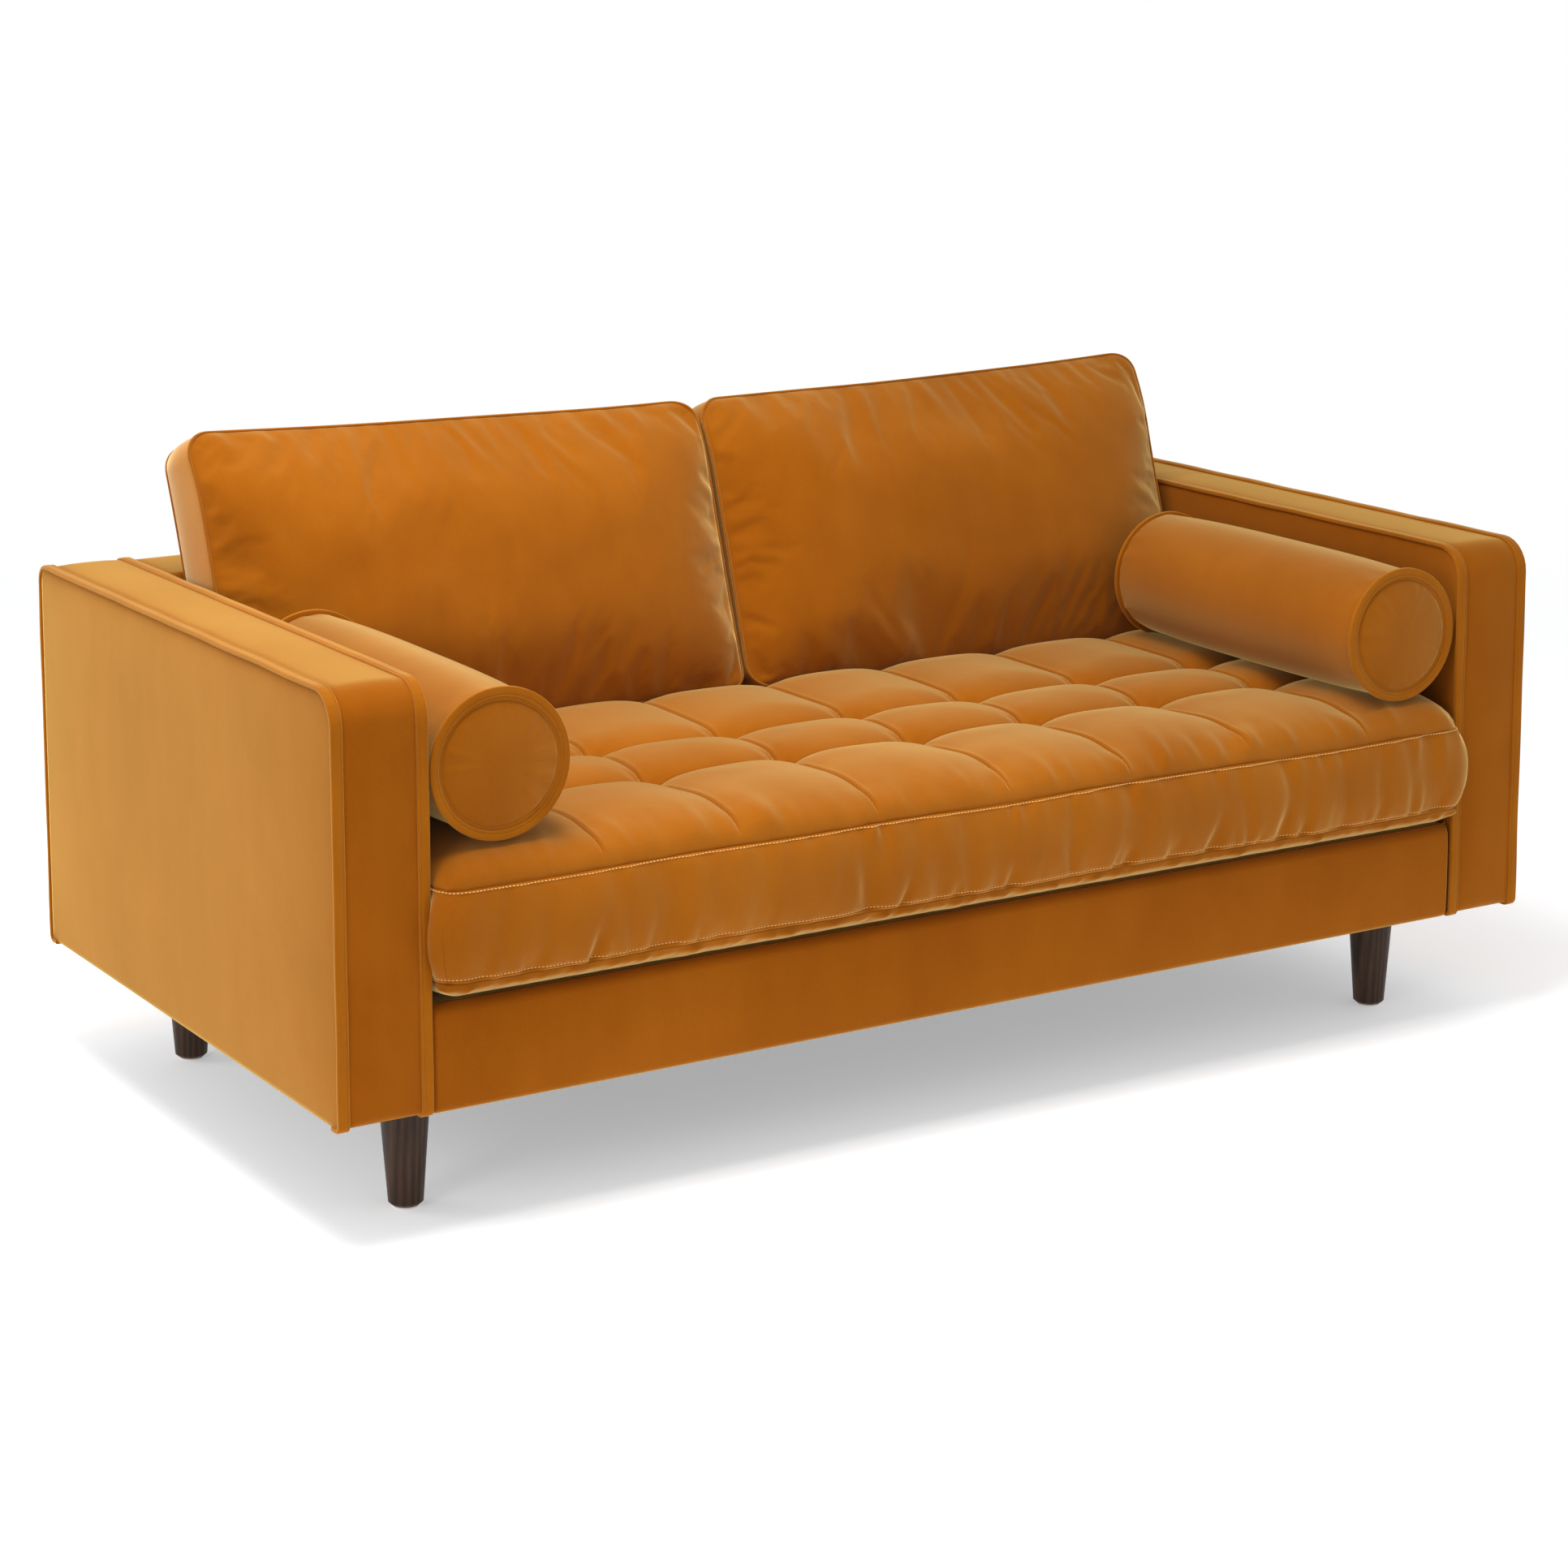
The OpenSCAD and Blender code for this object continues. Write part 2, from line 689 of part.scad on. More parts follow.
// side outline of a back cushion, flat where it rests on the seat, drawn in by d
function cushion_outline(d) =
    let (up = [sin(lean), cos(lean)], back = [cos(lean), -sin(lean)],
         foot_f = [cushion_front + d / cos(lean) + d * tan(lean), cushion_base + d],
         foot_r = [cushion_rear - d / cos(lean) + d * tan(lean), cushion_base + d],
         top_f = [cushion_front, cushion_base] + up * (cushion_h - d) + back * d,
         top_r = top_f + back * (cushion_t - 2 * d), c = edge_r)
    [foot_f, top_f - up * c, top_f - up * c / 4 + back * c / 4, top_f + back * c,
     top_r - back * c, top_r - up * c / 4 - back * c / 4, top_r - up * c, foot_r];

module cushion_fill() {
    color(white_c) along_x(cushion_in + piping_proud + cover_t, cushion_out - piping_proud - cover_t)
        polygon(cushion_outline(piping_proud + cover_t));
}

module cushion_cover() {
    color(fabric) difference() {
        along_x(cushion_in + piping_proud, cushion_out - piping_proud)
            polygon(cushion_outline(piping_proud));
        along_x(cushion_in + piping_proud + cover_t, cushion_out - piping_proud - cover_t)
            polygon(cushion_outline(piping_proud + cover_t));
    }
}

// piping around the front and the rear face, standing out of the boxing
module cushion_piping() {
    seam_in = 16;
    color(fabric_dark) intersection() {
        difference() {
            along_x(cushion_in, cushion_out) polygon(cushion_outline(0));
            along_x(cushion_in + piping_proud, cushion_out - piping_proud)
                polygon(cushion_outline(piping_proud));
        }
        for (d = [seam_in, cushion_t - seam_in - piping_d])
            translate([0, cushion_front, cushion_base]) rotate([-lean, 0, 0])
                translate([0, d, -cushion_h]) cube([2 * cushion_out, piping_d, 3 * cushion_h]);
    }
}

module left_back_fill() { on_side(-1) cushion_fill(); }
module right_back_fill() { on_side(1) cushion_fill(); }
module left_back_cover() { on_side(-1) cushion_cover(); }
module right_back_cover() { on_side(1) cushion_cover(); }
module left_back_piping() { on_side(-1) cushion_piping(); }
module right_back_piping() { on_side(1) cushion_piping(); }

// ---------- bolsters ----------

bolster_welt_t = 3;  // thickness of the flat welt round each end

module bolster_axis() {
    translate([bolster_x, bolster_y0, bolster_z]) rotate([-90, 0, 0]) children();
}

module bolster_fill() {
    color(white_c) bolster_axis() translate([0, 0, bolster_welt_t + cover_t])
        cylinder(r = bolster_r - cover_t, h = bolster_len - 2 * (bolster_welt_t + cover_t),
                 $fn = round_n);
}

module bolster_cover() {
    color(fabric) bolster_axis() difference() {
        translate([0, 0, bolster_welt_t])
            cylinder(r = bolster_r, h = bolster_len - 2 * bolster_welt_t, $fn = round_n);
        translate([0, 0, bolster_welt_t + cover_t])
            cylinder(r = bolster_r - cover_t,
                     h = bolster_len - 2 * (bolster_welt_t + cover_t), $fn = round_n);
    }
}

module bolster_welts() {
    color(fabric_dark) bolster_axis() for (z = [0, bolster_len - bolster_welt_t])
        translate([0, 0, z]) difference() {
            cylinder(r = bolster_r, h = bolster_welt_t, $fn = round_n);
            translate([0, 0, -cut])
                cylinder(r = bolster_r - welt_w, h = bolster_welt_t + 2 * cut, $fn = round_n);
        }
}

module left_bolster_fill() { on_side(-1) bolster_fill(); }
module right_bolster_fill() { on_side(1) bolster_fill(); }
module left_bolster_cover() { on_side(-1) bolster_cover(); }
module right_bolster_cover() { on_side(1) bolster_cover(); }
module left_bolster_welts() { on_side(-1) bolster_welts(); }
module right_bolster_welts() { on_side(1) bolster_welts(); }

front_rail();
back_rail();
side_rails();
centre_stretcher();
corner_blocks();
leg_inserts();
leg_bolts();
leg_front_left();
leg_front_right();
leg_rear_left();
leg_rear_right();
foot_glides();
left_arm_posts();
right_arm_posts();
left_arm_rails();
right_arm_rails();
left_arm_panels();
right_arm_panels();
left_arm_foam();
right_arm_foam();
left_arm_outer_cover();
right_arm_outer_cover();
left_arm_inner_cover();
right_arm_inner_cover();
left_arm_boxing();
right_arm_boxing();
left_arm_welts();
right_arm_welts();
arm_bolts();
back_posts();
back_top_rail();
back_webbing();
back_foam();
back_panel();
back_felt();
inside_back_cover();
outside_back_cover();
seat_springs();
spring_clips();
spring_tie_wires();
deck_pad();
deck_cover();
front_rail_foam();
front_rail_cover();
dust_cover();
seat_foam();
seat_cushion_cover();
seat_tuft_ties();
left_back_fill();
right_back_fill();
left_back_cover();
right_back_cover();
left_back_piping();
right_back_piping();
left_bolster_fill();
right_bolster_fill();
left_bolster_cover();
right_bolster_cover();
left_bolster_welts();
right_bolster_welts();
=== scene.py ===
import math
import random

import bpy
import numpy as np
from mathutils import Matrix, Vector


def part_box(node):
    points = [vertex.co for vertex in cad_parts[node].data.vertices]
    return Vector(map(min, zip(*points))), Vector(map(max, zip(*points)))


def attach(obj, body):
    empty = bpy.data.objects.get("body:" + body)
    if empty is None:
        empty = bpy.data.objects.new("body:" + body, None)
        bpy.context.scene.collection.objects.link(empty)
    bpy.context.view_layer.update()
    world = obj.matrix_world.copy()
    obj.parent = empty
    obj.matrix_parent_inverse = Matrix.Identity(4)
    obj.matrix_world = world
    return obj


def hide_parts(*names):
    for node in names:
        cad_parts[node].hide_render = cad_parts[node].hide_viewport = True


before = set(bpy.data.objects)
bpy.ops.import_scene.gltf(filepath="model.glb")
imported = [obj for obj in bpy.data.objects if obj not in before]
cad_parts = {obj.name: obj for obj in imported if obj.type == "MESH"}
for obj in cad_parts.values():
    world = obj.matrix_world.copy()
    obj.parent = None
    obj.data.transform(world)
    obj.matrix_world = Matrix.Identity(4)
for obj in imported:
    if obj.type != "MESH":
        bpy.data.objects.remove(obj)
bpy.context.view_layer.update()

bpy.ops.object.select_all(action="DESELECT")


# ---------- the studio ----------
# A pale floor that fades into the white room and a long lens from the front left. Soft
# lamps stand at the left, over the seat, at the front left and, weakly, at the right.
studio = bpy.context.scene
studio.view_settings.view_transform = "Standard"
lens = bpy.data.cameras.new("studio_lens")
lens.lens = 84.59
lens.sensor_width = 36.0
lens.shift_y = -0.2
lens.clip_end = 60.0
camera = bpy.data.objects.new("studio_camera", lens)
camera.location = (-2.6351, -4.1981, 1.6142)
camera.rotation_euler = (math.radians(90 - 9.349), 0, math.radians(-31.832))
studio.collection.objects.link(camera)
studio.camera = camera


def soft_lamp(name, place, aim, width, height, watts, tint, spread=180):
    """A rectangular lamp at place that points at aim."""
    light = bpy.data.lights.new(name, "AREA")
    light.spread = math.radians(spread)
    light.shape = "RECTANGLE"
    light.size = width
    light.size_y = height
    light.energy = watts
    light.color = tint
    lamp = bpy.data.objects.new(name, light)
    lamp.location = place
    toward = [a - p for a, p in zip(aim, place)]
    run = math.hypot(toward[0], toward[1])
    lamp.rotation_euler = (math.atan2(run, -toward[2]), 0, math.atan2(-toward[0], toward[1]))
    studio.collection.objects.link(lamp)


lamp_tint = (1.0, 0.985, 0.965)
soft_lamp("side_lamp", (-2.8, 1.8, 1.2), (-0.7, 0.2, 0.7), 1.4, 1.0, 18, lamp_tint)
soft_lamp("top_lamp", (-0.9, -0.5, 3.0), (-0.35, -0.1, 0.45), 1.6, 1.2, 22, lamp_tint, 80)
soft_lamp("front_left_lamp", (-3.4, -1.7, 1.3), (0, -0.4, 0.4), 1.0, 0.8, 18, lamp_tint)
soft_lamp("right_lamp", (2.6, -2.8, 1.8), (0.2, 0, 0.4), 1.8, 1.4, 3, lamp_tint)

room = bpy.data.worlds.new("white_room")
studio.world = room
room.use_nodes = True
room_nodes = room.node_tree.nodes
room_links = room.node_tree.links
room_nodes.clear()
room_out = room_nodes.new("ShaderNodeOutputWorld")
room_mix = room_nodes.new("ShaderNodeMixShader")
room_seen = room_nodes.new("ShaderNodeBackground")
room_seen.inputs["Color"].default_value = (1, 1, 1, 1)
room_seen.inputs["Strength"].default_value = 1.0
room_glow = room_nodes.new("ShaderNodeBackground")
room_glow.inputs["Color"].default_value = (0.97, 0.98, 1.0, 1)
room_glow.inputs["Strength"].default_value = 0.70
room_path = room_nodes.new("ShaderNodeLightPath")
room_links.new(room_path.outputs["Is Camera Ray"], room_mix.inputs["Fac"])
room_links.new(room_glow.outputs["Background"], room_mix.inputs[1])
room_links.new(room_seen.outputs["Background"], room_mix.inputs[2])
room_links.new(room_mix.outputs["Shader"], room_out.inputs["Surface"])

bpy.ops.mesh.primitive_circle_add(vertices=96, radius=9.0, fill_type="NGON", location=(0, 0, 0))
floor = bpy.context.object
floor.name = "studio_floor"
floor_paint = bpy.data.materials.new("floor_paint")
floor_paint.use_nodes = True
paint = floor_paint.node_tree
paint.nodes.clear()
paint_out = paint.nodes.new("ShaderNodeOutputMaterial")
paint_mix = paint.nodes.new("ShaderNodeMixShader")
paint_clear = paint.nodes.new("ShaderNodeBsdfTransparent")
paint_matt = paint.nodes.new("ShaderNodeBsdfDiffuse")
paint_matt.inputs["Color"].default_value = (0.90, 0.90, 0.90, 1)
paint_lift = paint.nodes.new("ShaderNodeEmission")
paint_lift.inputs["Strength"].default_value = 0.35
paint_both = paint.nodes.new("ShaderNodeAddShader")
paint_place = paint.nodes.new("ShaderNodeTexCoord")
paint_far = paint.nodes.new("ShaderNodeVectorMath")
paint_far.operation = "LENGTH"
paint_fade = paint.nodes.new("ShaderNodeMapRange")
paint_fade.inputs["From Min"].default_value = 2.2
paint_fade.inputs["From Max"].default_value = 4.6
paint_fade.interpolation_type = "SMOOTHSTEP"
paint.links.new(paint_place.outputs["Object"], paint_far.inputs[0])
paint.links.new(paint_far.outputs["Value"], paint_fade.inputs["Value"])
paint.links.new(paint_fade.outputs["Result"], paint_mix.inputs["Fac"])
paint.links.new(paint_matt.outputs["BSDF"], paint_both.inputs[0])
paint.links.new(paint_lift.outputs["Emission"], paint_both.inputs[1])
paint.links.new(paint_both.outputs["Shader"], paint_mix.inputs[1])
paint.links.new(paint_clear.outputs["BSDF"], paint_mix.inputs[2])
paint.links.new(paint_mix.outputs["Shader"], paint_out.inputs["Surface"])
floor.data.materials.append(floor_paint)


# ---------- the base frame ----------
# Softwood rails, blocks and posts, glued and screwed together under the covers; the nodes keep their
# shape and get sawn pine, with its rings.
def shader_group(name, takes, gives):
    """A shader node group with its named sockets, its inlet and its outlet."""
    group = bpy.data.node_groups.new(name, "ShaderNodeTree")
    for label, kind, value in takes:
        socket = group.interface.new_socket(label, in_out="INPUT", socket_type=kind)
        if value is not None:
            socket.default_value = value
    for label, kind in gives:
        group.interface.new_socket(label, in_out="OUTPUT", socket_type=kind)
    return group, group.nodes.new("NodeGroupInput"), group.nodes.new("NodeGroupOutput")


def node(tree, kind, **values):
    """A new node; each value goes to the input of that name, or else to the node's own setting."""
    made = tree.nodes.new(kind)
    for key, value in values.items():
        label = key.replace("_", " ")
        if label in made.inputs:
            made.inputs[label].default_value = value
        else:
            setattr(made, key, value)
    return made


def wood_grain_group():
    group, inlet, outlet = shader_group("wood_grain", [
        ("Place", "NodeSocketVector", None),
        ("Early", "NodeSocketColor", (0.6, 0.4, 0.2, 1)),
        ("Late", "NodeSocketColor", (0.4, 0.2, 0.1, 1)),
        ("Rings", "NodeSocketFloat", 20.0),
        ("Pores", "NodeSocketFloat", 300.0)],
        [("Color", "NodeSocketColor"), ("Roughness", "NodeSocketFloat"),
         ("Height", "NodeSocketFloat")])
    link = group.links.new
    warp = node(group, "ShaderNodeTexNoise", Scale=2.2, Detail=2.0)
    lean_in = node(group, "ShaderNodeMix", data_type="VECTOR")
    lean_in.inputs["Factor"].default_value = 0.06
    rings = node(group, "ShaderNodeTexWave", wave_type="BANDS", bands_direction="X",
                 Distortion=3.5, Detail=3.0)
    rings.inputs["Detail Scale"].default_value = 1.4
    pores = node(group, "ShaderNodeTexNoise", Detail=3.0, Roughness=0.65)
    dark = node(group, "ShaderNodeMix", data_type="RGBA")
    streak = node(group, "ShaderNodeMix", data_type="RGBA", blend_type="MULTIPLY")
    streak.inputs["Factor"].default_value = 0.55
    pore_tone = node(group, "ShaderNodeMapRange")
    pore_tone.inputs["From Min"].default_value = 0.3
    pore_tone.inputs["From Max"].default_value = 0.62
    pore_tone.inputs["To Min"].default_value = 0.45
    pore_tone.inputs["To Max"].default_value = 1.1
    dull = node(group, "ShaderNodeMapRange")
    dull.inputs["To Min"].default_value = 0.52
    dull.inputs["To Max"].default_value = 0.36
    link(inlet.outputs["Place"], warp.inputs["Vector"])
    link(inlet.outputs["Place"], lean_in.inputs[4])
    link(warp.outputs["Color"], lean_in.inputs[5])
    link(lean_in.outputs[1], rings.inputs["Vector"])
    link(inlet.outputs["Rings"], rings.inputs["Scale"])
    link(inlet.outputs["Place"], pores.inputs["Vector"])
    link(inlet.outputs["Pores"], pores.inputs["Scale"])
    link(rings.outputs["Fac"], dark.inputs["Factor"])
    link(inlet.outputs["Early"], dark.inputs[6])
    link(inlet.outputs["Late"], dark.inputs[7])
    link(pores.outputs["Fac"], pore_tone.inputs["Value"])
    link(dark.outputs[2], streak.inputs[6])
    link(pore_tone.outputs["Result"], streak.inputs[7])
    link(streak.outputs[2], outlet.inputs["Color"])
    link(pores.outputs["Fac"], dull.inputs["Value"])
    link(dull.outputs["Result"], outlet.inputs["Roughness"])
    link(pores.outputs["Fac"], outlet.inputs["Height"])
    return group


wood_grain = wood_grain_group()


def new_finish(name):
    finish = bpy.data.materials.new(name)
    finish.use_nodes = True
    tree = finish.node_tree
    return finish, tree, tree.nodes["Principled BSDF"]


def wood_finish(name, early, late, stretch, rings, pores, bump, coat):
    """Wood with its grain along the axis that stretch makes short."""
    finish, tree, shader = new_finish(name)
    spot = node(tree, "ShaderNodeTexCoord")
    along = node(tree, "ShaderNodeMapping")
    along.inputs["Scale"].default_value = stretch
    grain = node(tree, "ShaderNodeGroup", node_tree=wood_grain)
    grain.inputs["Early"].default_value = early
    grain.inputs["Late"].default_value = late
    grain.inputs["Rings"].default_value = rings
    grain.inputs["Pores"].default_value = pores
    relief = node(tree, "ShaderNodeBump", Strength=bump, Distance=0.0006)
    tree.links.new(spot.outputs["Object"], along.inputs["Vector"])
    tree.links.new(along.outputs["Vector"], grain.inputs["Place"])
    tree.links.new(grain.outputs["Color"], shader.inputs["Base Color"])
    tree.links.new(grain.outputs["Roughness"], shader.inputs["Roughness"])
    tree.links.new(grain.outputs["Height"], relief.inputs["Height"])
    tree.links.new(relief.outputs["Normal"], shader.inputs["Normal"])
    shader.inputs["Coat Weight"].default_value = coat
    shader.inputs["Coat Roughness"].default_value = 0.35
    return finish


def refinish(finish, *names):
    """Gives nodes that keep their shape a better material."""
    for name in names:
        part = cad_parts[name]
        part.data.materials.clear()
        part.data.materials.append(finish)


pine_rings = 26.0
pine_pores = 160.0
pine_long = wood_finish("sawn_pine", (0.62, 0.43, 0.24, 1), (0.45, 0.27, 0.12, 1),
                        (0.12, 1.0, 1.0), pine_rings, pine_pores, 0.35, 0.0)
refinish(pine_long, "front_rail", "back_rail", "corner_blocks", "back_top_rail")
pine_deep = wood_finish("sawn_pine_crosswise", (0.60, 0.42, 0.24, 1), (0.43, 0.26, 0.12, 1),
                        (1.0, 0.12, 1.0), pine_rings, pine_pores, 0.35, 0.0)
refinish(pine_deep, "side_rails", "centre_stretcher", "left_arm_rails", "right_arm_rails")
pine_tall = wood_finish("sawn_pine_upright", (0.61, 0.42, 0.23, 1), (0.44, 0.26, 0.12, 1),
                        (1.0, 1.0, 0.12), pine_rings, pine_pores, 0.35, 0.0)
refinish(pine_tall, "left_arm_posts", "right_arm_posts", "back_posts")


# ---------- fixings and springs ----------
# Zinc-plated rods, inserts and bolts, and the spring steel that carries the seat;
# plated steel with a dulled, faintly blotched skin.
def steel_finish(name, tone, rough):
    finish, tree, shader = new_finish(name)
    spot = node(tree, "ShaderNodeTexCoord")
    blotch = node(tree, "ShaderNodeTexNoise", Scale=70.0, Detail=4.0)
    tint = node(tree, "ShaderNodeMapRange")
    tint.inputs["To Min"].default_value = 0.75
    tint.inputs["To Max"].default_value = 1.15
    shade = node(tree, "ShaderNodeMix", data_type="RGBA", blend_type="MULTIPLY")
    shade.inputs["Factor"].default_value = 1.0
    shade.inputs[6].default_value = tone
    dull = node(tree, "ShaderNodeMapRange")
    dull.inputs["To Min"].default_value = rough - 0.1
    dull.inputs["To Max"].default_value = rough + 0.12
    tree.links.new(spot.outputs["Object"], blotch.inputs["Vector"])
    tree.links.new(blotch.outputs["Fac"], tint.inputs["Value"])
    tree.links.new(tint.outputs["Result"], shade.inputs[7])
    tree.links.new(shade.outputs[2], shader.inputs["Base Color"])
    tree.links.new(blotch.outputs["Fac"], dull.inputs["Value"])
    tree.links.new(dull.outputs["Result"], shader.inputs["Roughness"])
    shader.inputs["Metallic"].default_value = 1.0
    return finish


refinish(steel_finish("zinc_plate", (0.62, 0.62, 0.60, 1), 0.4),
         "leg_inserts", "leg_bolts", "arm_bolts", "spring_clips")
refinish(steel_finish("spring_steel", (0.30, 0.30, 0.31, 1), 0.45),
         "seat_springs", "spring_tie_wires")


# ---------- legs ----------
# Four round tapered legs of dark oiled walnut, turned in one piece; the top rim is eased
# and the foot is chamfered, and each one screws up into its corner block.
walnut = wood_finish("dark_walnut", (0.062, 0.029, 0.014, 1), (0.030, 0.014, 0.0075, 1),
                     (1.0, 1.0, 0.06), 42.0, 240.0, 0.35, 0.0)
walnut.node_tree.nodes["Principled BSDF"].inputs["Specular IOR Level"].default_value = 0.2
leg_top_radius = 0.033
leg_foot_radius = 0.0215
foot_chamfer = 0.004
rim_ease = 0.0012


def pick_edges(piece, edge_rule):
    """Selects, in edit mode, the edges whose two ends fit the rule."""
    bpy.ops.object.mode_set(mode="EDIT")
    bpy.ops.mesh.select_mode(type="EDGE")
    bpy.ops.mesh.select_all(action="DESELECT")
    bpy.ops.object.mode_set(mode="OBJECT")
    spots = piece.data.vertices
    for edge in piece.data.edges:
        a, b = (spots[i].co for i in edge.vertices)
        edge.select = edge_rule(a, b)
    bpy.ops.object.mode_set(mode="EDIT")


def settle(piece, name):
    """Applies a piece's place, turn and size to its mesh, and names it."""
    bpy.ops.object.mode_set(mode="OBJECT")
    bpy.ops.object.transform_apply(location=True, rotation=True, scale=True)
    piece.name = name
    piece.data.name = name


for corner in ("front_left", "front_right", "rear_left", "rear_right"):
    low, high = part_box("leg_" + corner)
    middle = (low + high) / 2
    bpy.ops.mesh.primitive_cone_add(
        vertices=72, radius1=leg_foot_radius, radius2=leg_top_radius,
        depth=high.z - low.z, location=middle, end_fill_type="NGON")
    leg = bpy.context.object
    half = (high.z - low.z) / 2
    hair = 1e-4
    pick_edges(leg, lambda a, b: a.z < -half + hair and b.z < -half + hair)
    bpy.ops.mesh.bevel(offset=foot_chamfer, segments=1, profile=0.5)
    bpy.ops.object.mode_set(mode="OBJECT")
    pick_edges(leg, lambda a, b: a.z > half - hair and b.z > half - hair)
    bpy.ops.mesh.bevel(offset=rim_ease, segments=3, profile=0.5)
    settle(leg, "turned_leg_" + corner)
    bpy.ops.object.shade_smooth_by_angle(angle=math.radians(25))
    leg.data.materials.append(walnut)
    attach(leg, "root")
    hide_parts("leg_" + corner)


# ---------- glides ----------
# A pale nylon disc nailed under each foot; the nodes keep their shape.
def plain_finish(name, tone, rough, grain_scale, depth, spread=0.12):
    finish, tree, shader = new_finish(name)
    spot = node(tree, "ShaderNodeTexCoord")
    grit = node(tree, "ShaderNodeTexNoise", Scale=grain_scale, Detail=5.0, Roughness=0.6)
    level = node(tree, "ShaderNodeMapRange")
    level.inputs["From Min"].default_value = 0.3
    level.inputs["From Max"].default_value = 0.7
    level.inputs["To Min"].default_value = 1.0 - spread
    level.inputs["To Max"].default_value = 1.0 + spread
    shade = node(tree, "ShaderNodeMix", data_type="RGBA", blend_type="MULTIPLY")
    shade.inputs["Factor"].default_value = 1.0
    shade.inputs[6].default_value = tone
    dull = node(tree, "ShaderNodeMapRange")
    dull.inputs["To Min"].default_value = rough - 0.06
    dull.inputs["To Max"].default_value = rough + 0.06
    relief = node(tree, "ShaderNodeBump", Strength=0.4, Distance=depth)
    tree.links.new(spot.outputs["Object"], grit.inputs["Vector"])
    tree.links.new(grit.outputs["Fac"], level.inputs["Value"])
    tree.links.new(level.outputs["Result"], shade.inputs[7])
    tree.links.new(shade.outputs[2], shader.inputs["Base Color"])
    tree.links.new(grit.outputs["Fac"], dull.inputs["Value"])
    tree.links.new(dull.outputs["Result"], shader.inputs["Roughness"])
    tree.links.new(grit.outputs["Fac"], relief.inputs["Height"])
    tree.links.new(relief.outputs["Normal"], shader.inputs["Normal"])
    return finish


refinish(plain_finish("nylon_glide", (0.72, 0.68, 0.62, 1), 0.45, 240.0, 0.0002, 0.06),
         "foot_glides")
refinish(plain_finish("brown_hardboard", (0.20, 0.11, 0.055, 1), 0.7, 420.0, 0.0004),
         "left_arm_panels", "right_arm_panels", "back_panel")
refinish(plain_finish("black_webbing", (0.02, 0.02, 0.022, 1), 0.85, 700.0, 0.0005, 0.3),
         "back_webbing")
refinish(plain_finish("grey_felt", (0.30, 0.29, 0.28, 1), 0.95, 380.0, 0.001, 0.25),
         "deck_pad")


# ---------- arms ----------
# Each arm is a slim padded box: a velvet panel on each side, and a boxing strip over the
# front, the top and the rear between them. The pile lies in soft brushed patches.
def velvet_pile_group():
    group, inlet, outlet = shader_group("velvet_pile", [
        ("Place", "NodeSocketVector", None),
        ("Deep", "NodeSocketColor", (0.3, 0.1, 0.01, 1)),
        ("Brushed", "NodeSocketColor", (0.5, 0.2, 0.03, 1)),
        ("Patches", "NodeSocketFloat", 3.0)],
        [("Color", "NodeSocketColor"), ("Roughness", "NodeSocketFloat"),
         ("Height", "NodeSocketFloat")])
    link = group.links.new
    patch = node(group, "ShaderNodeTexNoise", Detail=3.0, Roughness=0.55, Distortion=0.5)
    brush_run = node(group, "ShaderNodeMapping")
    brush_run.inputs["Scale"].default_value = (1.0, 1.0, 0.28)
    brush = node(group, "ShaderNodeTexNoise", Scale=26.0, Detail=4.0, Roughness=0.6)
    both = node(group, "ShaderNodeMath", operation="MULTIPLY_ADD")
    both.inputs[1].default_value = 0.38
    spread = node(group, "ShaderNodeMapRange")
    spread.inputs["From Min"].default_value = 0.46
    spread.inputs["From Max"].default_value = 0.94
    tone = node(group, "ShaderNodeMix", data_type="RGBA")
    tuft = node(group, "ShaderNodeTexNoise", Scale=900.0, Detail=2.0)
    fleck = node(group, "ShaderNodeMapRange")
    fleck.inputs["From Min"].default_value = 0.3
    fleck.inputs["From Max"].default_value = 0.7
    fleck.inputs["To Min"].default_value = 0.93
    fleck.inputs["To Max"].default_value = 1.07
    flecked = node(group, "ShaderNodeMix", data_type="RGBA", blend_type="MULTIPLY")
    flecked.inputs["Factor"].default_value = 1.0
    rough = node(group, "ShaderNodeMapRange")
    rough.inputs["To Min"].default_value = 0.92
    rough.inputs["To Max"].default_value = 0.74
    soft = node(group, "ShaderNodeTexNoise", Scale=120.0, Detail=3.0)
    height = node(group, "ShaderNodeMath", operation="MULTIPLY_ADD")
    height.inputs[1].default_value = 0.6
    link(inlet.outputs["Place"], patch.inputs["Vector"])
    link(inlet.outputs["Patches"], patch.inputs["Scale"])
    link(inlet.outputs["Place"], brush_run.inputs["Vector"])
    link(brush_run.outputs["Vector"], brush.inputs["Vector"])
    link(brush.outputs["Fac"], both.inputs[0])
    link(patch.outputs["Fac"], both.inputs[2])
    link(both.outputs["Value"], spread.inputs["Value"])
    link(spread.outputs["Result"], tone.inputs["Factor"])
    link(inlet.outputs["Deep"], tone.inputs[6])
    link(inlet.outputs["Brushed"], tone.inputs[7])
    link(inlet.outputs["Place"], tuft.inputs["Vector"])
    link(inlet.outputs["Place"], soft.inputs["Vector"])
    link(tuft.outputs["Fac"], fleck.inputs["Value"])
    link(tone.outputs[2], flecked.inputs[6])
    link(fleck.outputs["Result"], flecked.inputs[7])
    link(flecked.outputs[2], outlet.inputs["Color"])
    link(spread.outputs["Result"], rough.inputs["Value"])
    link(rough.outputs["Result"], outlet.inputs["Roughness"])
    link(soft.outputs["Fac"], height.inputs[0])
    link(tuft.outputs["Fac"], height.inputs[2])
    link(height.outputs["Value"], outlet.inputs["Height"])
    return group


velvet_pile = velvet_pile_group()


